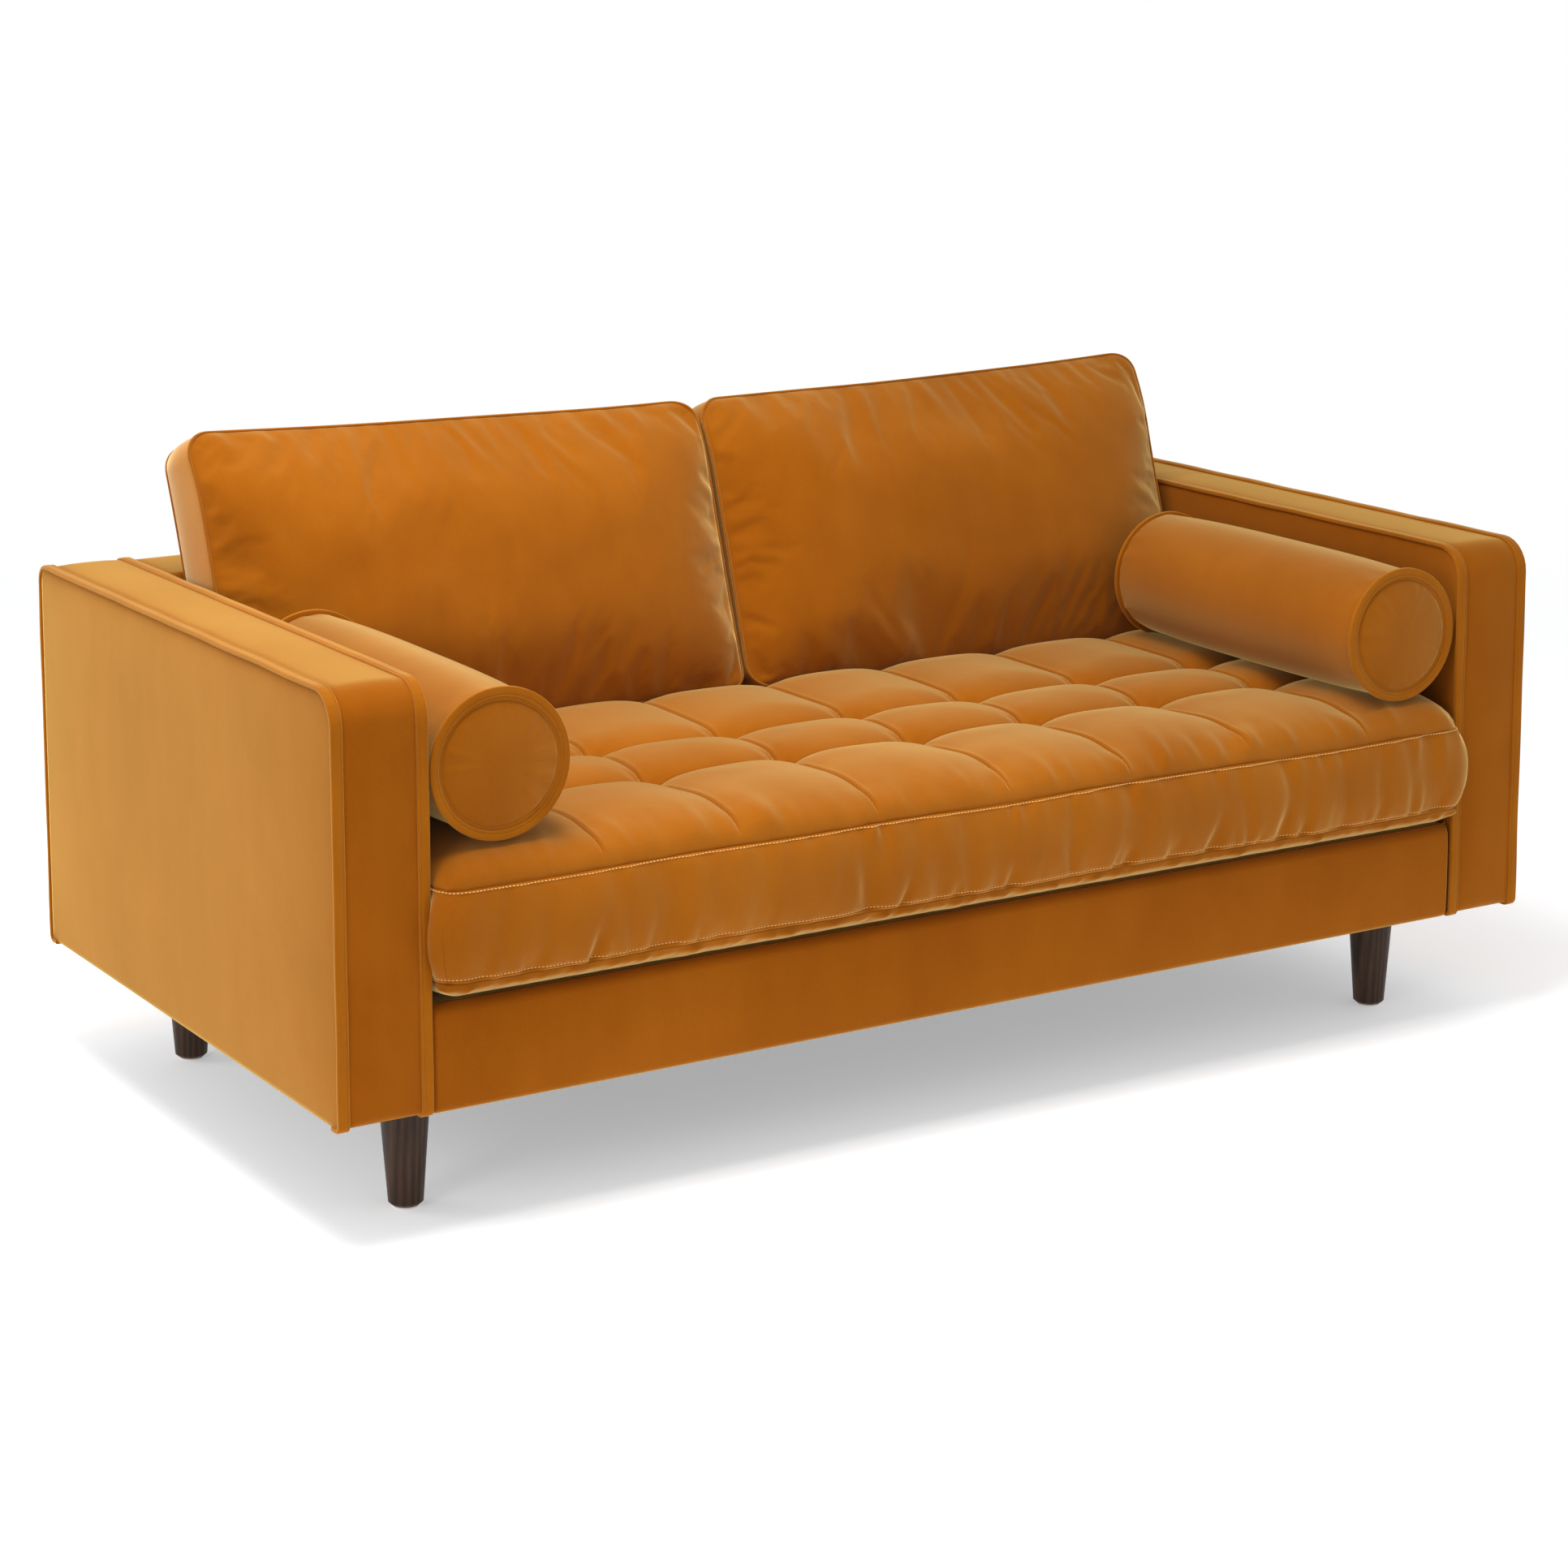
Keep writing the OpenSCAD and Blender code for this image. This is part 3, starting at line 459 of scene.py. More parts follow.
def velvet_finish(name, deep, brushed, patches, sheen, sheen_tint, sheen_rough):
    finish, tree, shader = new_finish(name)
    spot = node(tree, "ShaderNodeTexCoord")
    pile = node(tree, "ShaderNodeGroup", node_tree=velvet_pile)
    pile.inputs["Deep"].default_value = deep
    pile.inputs["Brushed"].default_value = brushed
    pile.inputs["Patches"].default_value = patches
    relief = node(tree, "ShaderNodeBump", Strength=0.22, Distance=0.0006)
    tree.links.new(spot.outputs["Object"], pile.inputs["Place"])
    tree.links.new(pile.outputs["Color"], shader.inputs["Base Color"])
    tree.links.new(pile.outputs["Roughness"], shader.inputs["Roughness"])
    tree.links.new(pile.outputs["Height"], relief.inputs["Height"])
    tree.links.new(relief.outputs["Normal"], shader.inputs["Normal"])
    shader.inputs["Sheen Weight"].default_value = sheen
    shader.inputs["Sheen Tint"].default_value = sheen_tint
    shader.inputs["Sheen Roughness"].default_value = sheen_rough
    shader.inputs["Specular IOR Level"].default_value = 0.05
    return finish


velvet = velvet_finish("mustard_velvet", (0.245, 0.064, 0.0006, 1), (0.310, 0.089, 0.0016, 1),
                       3.4, 1.0, (1.0, 0.775, 0.31, 1), 0.41)
velvet_edge = velvet_finish("mustard_velvet_edge", (0.265, 0.072, 0.0010, 1),
                            (0.330, 0.100, 0.0022, 1), 5.0, 0.8, (1.0, 0.74, 0.28, 1), 0.38)


def panel_lines(low, high, step, close=(), gap=0.002):
    """Grid lines from low to high, a step apart, and closer on both sides of each place in close."""
    marks = [low, high]
    for place in close:
        reach = gap
        marks.append(place)
        while reach < step * 3:
            marks.extend(m for m in (place - reach, place + reach) if low < m < high)
            reach *= 1.55
    marks = sorted(marks)
    lines = [marks[0]]
    for mark in marks[1:]:
        if mark - lines[-1] < gap * 0.6:
            continue
        pieces = max(1, math.ceil((mark - lines[-1]) / step))
        start = lines[-1]
        lines.extend(start + (mark - start) * (k + 1) / pieces for k in range(pieces))
    lines[-1] = high
    return np.array(lines)


def rounded_panel(a_lines, b_lines, radii):
    """A grid of points over a rectangle whose corners are rounded: radii are low-low, high-low,
    high-high, low-high."""
    a, b = np.meshgrid(a_lines, b_lines, indexing="ij")
    low_a, high_a, low_b, high_b = a_lines[0], a_lines[-1], b_lines[0], b_lines[-1]
    corners = ((low_a, low_b, 1, 1), (high_a, low_b, -1, 1),
               (high_a, high_b, -1, -1), (low_a, high_b, 1, -1))
    for (ca, cb, sa, sb), radius in zip(corners, radii):
        pa = a - (ca + sa * radius)
        pb = b - (cb + sb * radius)
        inside = (pa * sa < 0) & (pb * sb < 0)
        far = np.hypot(pa, pb) + 1e-12
        share = np.where(inside, np.maximum(abs(pa), abs(pb)) / far, 1.0)
        a = np.where(inside, ca + sa * radius + pa * share, a)
        b = np.where(inside, cb + sb * radius + pb * share, b)
    return a, b


def rim_walk(count_a, count_b):
    """The grid places round the rim of a panel, in order."""
    walk = [(i, 0) for i in range(count_a)]
    walk += [(count_a - 1, j) for j in range(1, count_b)]
    walk += [(i, count_b - 1) for i in range(count_a - 2, -1, -1)]
    walk += [(0, j) for j in range(count_b - 2, 0, -1)]
    return np.array(walk)


def rim_normals(ring):
    """Outward directions of a closed ring of 2-D points."""
    along = np.roll(ring, -1, axis=0) - np.roll(ring, 1, axis=0)
    out = np.stack([along[:, 1], -along[:, 0]], axis=1)
    return out / (np.linalg.norm(out, axis=1, keepdims=True) + 1e-12)


def boxed_mesh(name, near, far, band):
    """A closed shell of two panels and the rings of the boxing between them."""
    count_a, count_b = near.shape[:2]
    size = count_a * count_b
    walk = rim_walk(count_a, count_b)
    rim = walk[:, 0] * count_b + walk[:, 1]
    points = [near.reshape(-1, 3), far.reshape(-1, 3)] + list(band)
    rings = [rim]
    for k in range(len(band)):
        rings.append(2 * size + k * len(rim) + np.arange(len(rim)))
    rings.append(rim + size)
    i, j = np.meshgrid(np.arange(count_a - 1), np.arange(count_b - 1), indexing="ij")
    a = (i * count_b + j).ravel()
    quads = [np.stack([a, a + count_b, a + count_b + 1, a + 1], axis=1)]
    quads.append(quads[0][:, ::-1] + size)
    for one, two in zip(rings[:-1], rings[1:]):
        quads.append(np.stack([one, two, np.roll(two, -1), np.roll(one, -1)], axis=1))
    return shell(name, np.concatenate(points), np.concatenate(quads))


def shell(name, points, faces, crisp=None):
    """A closed mesh with its normals outward; crisp is the angle above which edges stay sharp."""
    mesh = bpy.data.meshes.new(name)
    mesh.from_pydata([tuple(p) for p in points], [], [tuple(int(v) for v in f) for f in faces])
    piece = bpy.data.objects.new(name, mesh)
    studio.collection.objects.link(piece)
    bpy.ops.object.select_all(action="DESELECT")
    piece.select_set(True)
    bpy.context.view_layer.objects.active = piece
    bpy.ops.object.mode_set(mode="EDIT")
    bpy.ops.mesh.select_all(action="SELECT")
    bpy.ops.mesh.normals_make_consistent(inside=False)
    bpy.ops.object.mode_set(mode="OBJECT")
    if crisp is None:
        bpy.ops.object.shade_smooth()
    else:
        bpy.ops.object.shade_smooth_by_angle(angle=math.radians(crisp))
    return piece


def swell(share, power=4.0):
    """0 at both ends and near 1 between them."""
    return 1.0 - abs(2.0 * share - 1.0) ** power


def slow_wave(length, seed, longest, count=6):
    """A smooth random line, within about -1..1; its length argument is not used."""
    draw = random.Random(seed)
    parts = [(draw.uniform(0.6, 1.0), draw.uniform(1.0, 2.6), draw.uniform(0, 2 * math.pi))
             for _ in range(count)]

    def wave(s):
        total = sum(a * np.sin(2 * math.pi * f * np.asarray(s) / longest + p) for a, f, p in parts)
        return total / (0.55 * count)
    return wave


arm_low, arm_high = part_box("left_arm_welts")
arm_inner = -arm_high.x
arm_outer = -arm_low.x
arm_skin = 0.003
arm_front_turn = 0.042
arm_rear_turn = 0.021
arm_foot_turn = 0.007
arm_base = 0.160
arm_swell = 0.0055
boxing_swell = 0.0024
arm_y = panel_lines(arm_low.y + arm_skin, arm_high.y - arm_skin, 0.011,
                    (arm_low.y + arm_skin + 0.02, arm_high.y - arm_skin - 0.012), 0.005)
arm_z = panel_lines(arm_base, arm_high.z - arm_skin, 0.011,
                    (arm_base + 0.006, arm_high.z - arm_skin - 0.02), 0.005)
arm_radii = (arm_foot_turn, arm_foot_turn, arm_rear_turn, arm_front_turn)

# on the arms, the back and the front rail a darker copy of the velvet with a weaker, less yellow sheen:
# painted shade, so these lamp-lit parts look less bright
velvet_painted_shade = velvet_finish("mustard_velvet_painted_shade", (0.240, 0.058, 0.0003, 1),
                           (0.300, 0.080, 0.0009, 1), 3.4, 1.0, (1.0, 0.70, 0.20, 1), 0.385)

for side, name in ((-1, "left"), (1, "right")):
    ys, zs = rounded_panel(arm_y, arm_z, arm_radii)
    v = (zs - arm_base) / (arm_high.z - arm_base)
    u = (ys - arm_low.y) / (arm_high.y - arm_low.y)
    full = swell(u, 6.0) * swell(v, 6.0)
    uneven = slow_wave(1.0, 11 + side, 0.9)(ys) * 0.0007 + slow_wave(1.0, 15 + side, 0.7)(zs) * 0.0006
    outer_x = arm_outer - arm_skin + arm_swell * full + uneven * full
    inner_x = arm_inner + arm_skin - 0.0015 * full
    near = np.stack([side * outer_x, ys, zs], axis=2)
    far = np.stack([side * inner_x, ys, zs], axis=2)
    walk = rim_walk(*ys.shape)
    ring = np.stack([ys[walk[:, 0], walk[:, 1]], zs[walk[:, 0], walk[:, 1]]], axis=1)
    out = rim_normals(ring)
    lumps = 1.0 + 0.35 * slow_wave(1.0, 21 + side, 0.8)(ring[:, 0] + ring[:, 1])
    band = []
    for share in (0.03, 0.08, 0.16, 0.28, 0.42, 0.58, 0.72, 0.84, 0.92, 0.97):
        puff = boxing_swell * swell(min(max((share - 0.09) / 0.82, 0), 1), 3.0) * lumps
        puff = np.where(ring[:, 1] > arm_base + 0.01, puff, 0)
        spot = ring + out * puff[:, None]
        x = arm_outer - arm_skin + (arm_inner - arm_outer + 2 * arm_skin) * share
        band.append(np.stack([np.full(len(ring), side * x), spot[:, 0], spot[:, 1]], axis=1))
    arm = boxed_mesh(name + "_arm_upholstery", near, far, band)
    arm.data.materials.append(velvet_painted_shade)
    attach(arm, "root")
    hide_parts(name + "_arm_outer_cover", name + "_arm_inner_cover",
                name + "_arm_boxing", name + "_arm_foam")


# ---------- arm flanges ----------
# A flat welt of the same velvet, 12 mm wide, stitched into each long seam of an arm: it runs
# up the front, over the top and down the rear, and turns under the arm at both ends.
def strip_mesh(name, path, out, across, section, closed):
    """section, (out, across) offsets in order, carried along the path."""
    rows, sides = len(path), len(section)
    points = np.empty((rows, sides, 3))
    for k, (du, dx) in enumerate(section):
        points[:, k] = path + out * du + across * dx
    faces = []
    for r in range(rows if closed else rows - 1):
        nxt = (r + 1) % rows
        for k in range(sides):
            m = (k + 1) % sides
            faces.append((r * sides + k, nxt * sides + k, nxt * sides + m, r * sides + m))
    if not closed:
        faces.append(tuple(range(sides)))
        faces.append(tuple((rows - 1) * sides + k for k in range(sides)))
    return shell(name, points.reshape(-1, 3), faces, crisp=50)


def flat_section(inward, outward, under, over, turn, steps=4):
    """A flat band's section with rounded corners, and a stitched groove near its inner edge."""
    section = []
    corners = ((outward - turn, over - turn, 0), (-inward + turn, over - turn, 90),
               (-inward + turn, under + turn, 180), (outward - turn, under + turn, 270))
    for du, dx, start in corners:
        for k in range(steps + 1):
            angle = math.radians(start + 90 * k / steps)
            section.append((du + turn * math.cos(angle), dx + turn * math.sin(angle)))
        if start == 0:
            section.append((-inward * 0.45, over + 0.0002))
            section.append((-inward + 0.0042, over))
            section.append((-inward + 0.0032, over - 0.0009))
            section.append((-inward + 0.0024, over - 0.0002))
    return section


def outline_run(low_a, high_a, low_b, high_b, foot, front, rear, tuck, step):
    """Up the front, over the top and down the rear of an arm, with both ends tucked under."""
    path = [(low_a + foot + tuck, low_b)]
    spots = [(low_a + foot, low_b + foot, foot, 270, 180),
             (low_a + front, high_b - front, front, 180, 90),
             (high_a - rear, high_b - rear, rear, 90, 0),
             (high_a - foot, low_b + foot, foot, 360, 270)]
    for ca, cb, radius, start, end in spots:
        count = max(6, round(radius * math.pi / 2 / step))
        for k in range(count + 1):
            angle = math.radians(start + (end - start) * k / count)
            path.append((ca + radius * math.cos(angle), cb + radius * math.sin(angle)))
    path.append((high_a - foot - tuck, low_b))
    path = np.array(path)
    gaps = np.hypot(*np.diff(path, axis=0).T)
    length = np.concatenate([[0], np.cumsum(gaps)])
    count = round(length[-1] / step)
    even = np.linspace(0, length[-1], count)
    even = np.unique(np.round(np.concatenate([even, length]), 5))
    return np.stack([np.interp(even, length, path[:, k]) for k in (0, 1)], axis=1), even


def join_pieces(pieces, name):
    """Makes one piece of several."""
    bpy.ops.object.select_all(action="DESELECT")
    for piece in pieces:
        piece.select_set(True)
    bpy.context.view_layer.objects.active = pieces[0]
    bpy.ops.object.join()
    joined = bpy.context.object
    joined.name = name
    joined.data.name = name
    return joined


def run_normals(path):
    """Outward directions of an open run of 2-D points."""
    along = np.gradient(path, axis=0)
    out = np.stack([-along[:, 1], along[:, 0]], axis=1)
    return out / np.linalg.norm(out, axis=1, keepdims=True)


flange_tuck = 0.012
flange_step = 0.009
for side, name in ((-1, "left"), (1, "right")):
    strips = []
    for place, turned in ((arm_outer - arm_skin, 1), (arm_inner + arm_skin, -1)):
        path, length = outline_run(arm_low.y + arm_skin, arm_high.y - arm_skin, arm_base,
                                   arm_high.z - arm_skin, arm_foot_turn, arm_front_turn,
                                   arm_rear_turn, flange_tuck, flange_step)
        out = run_normals(path)
        shiver = slow_wave(1.0, 31 + 3 * side + turned, 0.33, 8)(length) * 0.0006
        path = path + out * shiver[:, None]
        heel = np.zeros(len(path))
        centre = np.stack([heel + side * place, path[:, 0], path[:, 1]], axis=1)
        centre[:, 0] += side * turned * slow_wave(1.0, 41 + side - turned, 0.27, 8)(length) * 0.0004
        lift = np.stack([heel, out[:, 0], out[:, 1]], axis=1)
        across = np.array([side * turned, 0.0, 0.0])
        section = [(up, over) for over, up in flat_section(0.0118, 0.0032, -0.0022, 0.0034, 0.0014)]
        strips.append(strip_mesh("strip", centre, lift, across, section, False))
    flange = join_pieces(strips, name + "_arm_flanges")
    flange.data.materials.append(velvet_edge)
    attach(flange, "root")
    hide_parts(name + "_arm_welts")


# ---------- the back ----------
# The low back between the arms: foam over elastic webbing, felt over a stiff board behind,
# and velvet pulled over both. Its front leans like the cushions that rest against it.
def rounded_outline(corners, step=0.004):
    """corners are (a, b, radius), in order round the outline."""
    points = []
    count = len(corners)
    for k in range(count):
        here = np.array(corners[k][:2])
        radius = corners[k][2]
        before = np.array(corners[k - 1][:2]) - here
        after = np.array(corners[(k + 1) % count][:2]) - here
        before /= np.linalg.norm(before)
        after /= np.linalg.norm(after)
        half = math.acos(max(-1, min(1, before @ after))) / 2
        if radius <= 0:
            points.append(here)
            continue
        cut = radius / math.tan(half)
        middle = here + (before + after) / np.linalg.norm(before + after) * radius / math.sin(half)
        start = here + before * cut - middle
        end = here + after * cut - middle
        turns = max(3, round(radius * (math.pi - 2 * half) / step))
        first = math.atan2(start[1], start[0])
        sweep = math.atan2(start[0] * end[1] - start[1] * end[0], start @ end)
        for t in range(turns + 1):
            angle = first + sweep * t / turns
            points.append(middle + radius * np.array([math.cos(angle), math.sin(angle)]))
    dense = []
    for k in range(len(points)):
        one, two = points[k], points[(k + 1) % len(points)]
        gap = np.linalg.norm(two - one)
        parts = max(1, math.ceil(gap / 0.012))
        dense.extend(one + (two - one) * t / parts for t in range(parts))
    return np.array(dense)


def padded_bar(name, outline, x_low, x_high, ease, step, relief):
    """A padded length along x with eased ends; relief(x, points, out) moves its surface."""
    out = rim_normals(outline)
    onward = np.roll(outline, -1, axis=0)
    area = np.sum(outline[:, 0] * onward[:, 1] - onward[:, 0] * outline[:, 1])
    if area < 0:
        out = -out
    marks = [ease * (1 - math.cos(math.radians(a))) for a in (0, 20, 40, 60, 80)]
    middle = np.linspace(x_low + ease, x_high - ease, round((x_high - x_low) / step))
    stations = [x_low + m for m in marks] + list(middle) + [x_high - m for m in reversed(marks)]
    points = []
    for x in stations:
        reach = min(x - x_low, x_high - x, ease)
        inset = ease * (1 - math.sqrt(max(0.0, 1 - (1 - reach / ease) ** 2)))
        ring = outline - out * inset + out * relief(x, outline, out)[:, None]
        points.append(np.stack([np.full(len(ring), x), ring[:, 0], ring[:, 1]], axis=1))
    rows, sides = len(stations), len(outline)
    faces = []
    for r in range(rows - 1):
        for k in range(sides):
            m = (k + 1) % sides
            faces.append((r * sides + k, (r + 1) * sides + k, (r + 1) * sides + m, r * sides + m))
    faces.append(tuple(range(sides)))
    faces.append(tuple((rows - 1) * sides + k for k in range(sides)))
    return shell(name, np.concatenate(points), faces)


back_low, back_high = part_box("inside_back_cover")
rear_low, rear_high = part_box("outside_back_cover")
lean = math.radians(18)
seat_low, seat_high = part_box("seat_cushion_cover")
back_foot = back_low.y
knee_z = 0.664
knee_y = back_foot + (knee_z - seat_high.z) * math.tan(lean)
back_outline = rounded_outline([
    (back_foot, back_low.z, 0.004), (back_foot, seat_high.z, 0.08), (knee_y, knee_z, 0.02),
    (knee_y + 0.016, back_high.z, 0.016), (rear_high.y - 0.001, back_high.z, 0.018),
    (rear_high.y - 0.001, rear_low.z + 0.001, 0.006), (rear_high.y - 0.013, rear_low.z + 0.001, 0.002),
    (rear_high.y - 0.013, back_low.z, 0.002)])
back_wave = slow_wave(1.0, 51, 0.9)


def back_relief(x, points, out):
    reach = min(1.0, (0.7905 - abs(x)) / 0.12)
    fullness = swell(np.clip((points[:, 1] - rear_low.z) / (rear_high.z - rear_low.z), 0, 1), 4)
    return 0.0025 * reach * fullness * (1 + 0.3 * back_wave(x + points[:, 1]))


back = padded_bar("back_upholstery", back_outline, back_low.x + 0.0005, back_high.x - 0.0005,
                  0.004, 0.016, back_relief)
back.data.materials.append(velvet_painted_shade)
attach(back, "root")
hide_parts("inside_back_cover", "outside_back_cover", "back_foam", "back_felt")


# ---------- front rail ----------
# The rail between the arms is wrapped in thin foam and velvet, pulled round the bottom edge
# and stapled; its ends are softly rounded where they meet the arms.
rail_low, rail_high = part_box("front_rail_cover")
rail_outline = rounded_outline([
    (rail_high.y, rail_low.z, 0.002), (rail_low.y + 0.0015, rail_low.z, 0.009),
    (rail_low.y + 0.0015, rail_high.z, 0.014), (rail_high.y, rail_high.z, 0.002)])
rail_wave = slow_wave(1.0, 61, 0.5)


def rail_relief(x, points, out):
    face = np.clip(-out[:, 0], 0, 1)
    height = swell(np.clip((points[:, 1] - rail_low.z) / (rail_high.z - rail_low.z), 0, 1), 2.2)
    return face * height * 0.0022 * (1 + 0.35 * rail_wave(x))


rail = padded_bar("front_rail_upholstery", rail_outline, rail_low.x, rail_high.x, 0.007, 0.01,
                  rail_relief)
rail.data.materials.append(velvet_painted_shade)
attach(rail, "root")
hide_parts("front_rail_cover", "front_rail_foam")


# ---------- deck cloth ----------
# Cotton deck cloth stretched over the springs and their felt pad, with a strip of the velvet
# sewn to its front edge; it shows when the seat cushion is lifted off.
deck_low, deck_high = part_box("deck_cover")
bpy.ops.mesh.primitive_grid_add(x_subdivisions=160, y_subdivisions=70, size=1.0,
                                location=(0, (deck_low.y + deck_high.y) / 2, 0))
deck = bpy.context.object
deck.scale = (deck_high.x - deck_low.x - 0.002, deck_high.y - deck_low.y - 0.002, 1)
settle(deck, "deck_cloth")
deck_x_wave = slow_wave(1.0, 71, 0.6)
velvet_strip = -0.30
for spot in deck.data.vertices:
    edge = min(0.79 - abs(spot.co.x), spot.co.y - deck_low.y, deck_high.y - spot.co.y)
    rise = 0.0006 * (1 + deck_x_wave(spot.co.x + 0.4 * spot.co.y)) * min(1, edge / 0.05)
    seam = math.exp(-((spot.co.y - velvet_strip) / 0.004) ** 2) * 0.0008
    spot.co.z = deck_low.z + 0.0012 + rise + seam
thick = deck.modifiers.new("thickness", "SOLIDIFY")
thick.thickness = 0.0011
thick.offset = 1.0
bpy.ops.object.modifier_apply(modifier="thickness")
bpy.ops.object.shade_smooth_by_angle(angle=math.radians(40))


def weave_finish(name, tone, thread, rough, depth):
    """A plain weave of crossing threads."""
    finish, tree, shader = new_finish(name)
    spot = node(tree, "ShaderNodeTexCoord")
    warp = node(tree, "ShaderNodeTexWave", wave_type="BANDS", bands_direction="X",
                Scale=thread, Distortion=0.6)
    weft = node(tree, "ShaderNodeTexWave", wave_type="BANDS", bands_direction="Y",
                Scale=thread, Distortion=0.6)
    cross = node(tree, "ShaderNodeMath", operation="MULTIPLY")
    tint = node(tree, "ShaderNodeMapRange")
    tint.inputs["To Min"].default_value = 0.72
    tint.inputs["To Max"].default_value = 1.15
    shade = node(tree, "ShaderNodeMix", data_type="RGBA", blend_type="MULTIPLY")
    shade.inputs["Factor"].default_value = 1.0
    shade.inputs[6].default_value = tone
    relief = node(tree, "ShaderNodeBump", Strength=0.5, Distance=depth)
    tree.links.new(spot.outputs["Object"], warp.inputs["Vector"])
    tree.links.new(spot.outputs["Object"], weft.inputs["Vector"])
    tree.links.new(warp.outputs["Fac"], cross.inputs[0])
    tree.links.new(weft.outputs["Fac"], cross.inputs[1])
    tree.links.new(cross.outputs["Value"], tint.inputs["Value"])
    tree.links.new(tint.outputs["Result"], shade.inputs[7])
    tree.links.new(shade.outputs[2], shader.inputs["Base Color"])
    tree.links.new(cross.outputs["Value"], relief.inputs["Height"])
    tree.links.new(relief.outputs["Normal"], shader.inputs["Normal"])
    shader.inputs["Roughness"].default_value = rough
    return finish


deck.data.materials.append(weave_finish("ochre_deck_cotton", (0.34, 0.17, 0.05, 1), 260.0, 0.9, 0.0003))
deck.data.materials.append(velvet)
for face in deck.data.polygons:
    face.material_index = 1 if face.center.y < velvet_strip else 0
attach(deck, "root")
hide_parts("deck_cover")


# ---------- dust cloth ----------
# Thin black cloth stapled under the base and under each arm, a little slack between its edges.
dust_low, dust_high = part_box("dust_cover")
dust_finish = weave_finish("black_dust_cloth", (0.012, 0.012, 0.013, 1), 300.0, 0.95, 0.0003)
dust_inset = 0.005
dust_slack = 0.0035
for name, x_low, x_high, level in (
        ("dust_cloth_base", -0.788, 0.788, 0.1572),
        ("dust_cloth_left", -0.908, -0.797, 0.1597),
        ("dust_cloth_right", 0.797, 0.908, 0.1597)):
    wide = x_high - x_low
    deep = dust_high.y - dust_low.y - 2 * dust_inset
    bpy.ops.mesh.primitive_grid_add(
        x_subdivisions=max(8, round(wide / 0.02)), y_subdivisions=44, size=1.0,
        location=((x_low + x_high) / 2, (dust_low.y + dust_high.y) / 2, level))
    dust = bpy.context.object
    dust.scale = (wide, deep, 1)
    settle(dust, name)
    for spot in dust.data.vertices:
        edge = min(spot.co.x - x_low, x_high - spot.co.x,
                   spot.co.y - dust_low.y - dust_inset, dust_high.y - dust_inset - spot.co.y)
        spot.co.z -= dust_slack * (1 - math.exp(-max(0, edge) / 0.12))
    thick = dust.modifiers.new("thickness", "SOLIDIFY")
    thick.thickness = 0.0006
    bpy.ops.object.modifier_apply(modifier="thickness")
    dust.data.materials.append(dust_finish)
    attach(dust, "root")
    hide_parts("dust_cover")


# ---------- seat cushion ----------
# One bench cushion of foam in a velvet cover. Its top is sewn front to back into eight
# channels and pulled down at three rows of tufts, and its border is gathered between two seams.
channels = 8
channel_pitch = 0.1972
channel_drift = 0.017
tuft_rows = (-0.2375, -0.0875, 0.1575)
channel_marks = [channel_drift + channel_pitch * (k - channels / 2) + 0.004 * math.sin(2.1 * k)
                 for k in range(1, channels)]
seat_half = seat_high.x - 0.001
seat_front = seat_low.y + 0.0115
seat_rear = seat_high.y - 0.004
seam_level = 0.434
under_level = 0.3215
seat_floor = seat_low.z
crown_level = 0.4865
seat_turn = 0.032
half_channel = 0.0986
# how far the seams and the tufts pull the top down
line_at_edge = 0.0095
line_more_inwards = 0.0190
line_behind = 0.0175
line_between = 0.0155
line_more_between = 0.006
row_least = 0.0225
row_more = 0.006
pit_depth = 0.0160
pit_reach = 0.016


def folds(s, t, length, count, seed, width, reach, height, slant=0.15):
    """Gathers that leave a seam: s runs along it and t away from it."""
    draw = random.Random(seed)
    total = np.zeros_like(s)
    for _ in range(count):
        at = draw.uniform(0, length)
        wide = draw.uniform(*width)
        far = draw.uniform(*reach)
        tall = draw.uniform(*height) * draw.choice((1, 1, -0.8))
        tilt = draw.uniform(-slant, slant)
        spread = wide * (1 + t / 0.07)
        near = abs(s - at - tilt * t) < spread * 3
        shape = np.exp(-((s - at - tilt * t) / spread) ** 2)
        fade = (1 - np.exp(-t / 0.003)) * np.exp(-(t / far) ** 1.6)
        total = total + np.where(near, tall * shape * fade, 0)
    return total


def nearest(values, marks):
    """How far each value lies from the closest mark, and which mark that is."""
    marks = np.array(sorted(marks))
    gaps = values[..., None] - marks
    pick = np.argmin(abs(gaps), axis=-1)
    return np.take_along_axis(gaps, pick[..., None], axis=-1)[..., 0], pick


def shoulder(distance, width, power):
    """Rises from 0 to 1 over a width, steep at first, like the edge of a full pad."""
    t = np.clip(distance / width, 0, 1)
    return (1 - (1 - t) ** power) ** (1 / power)


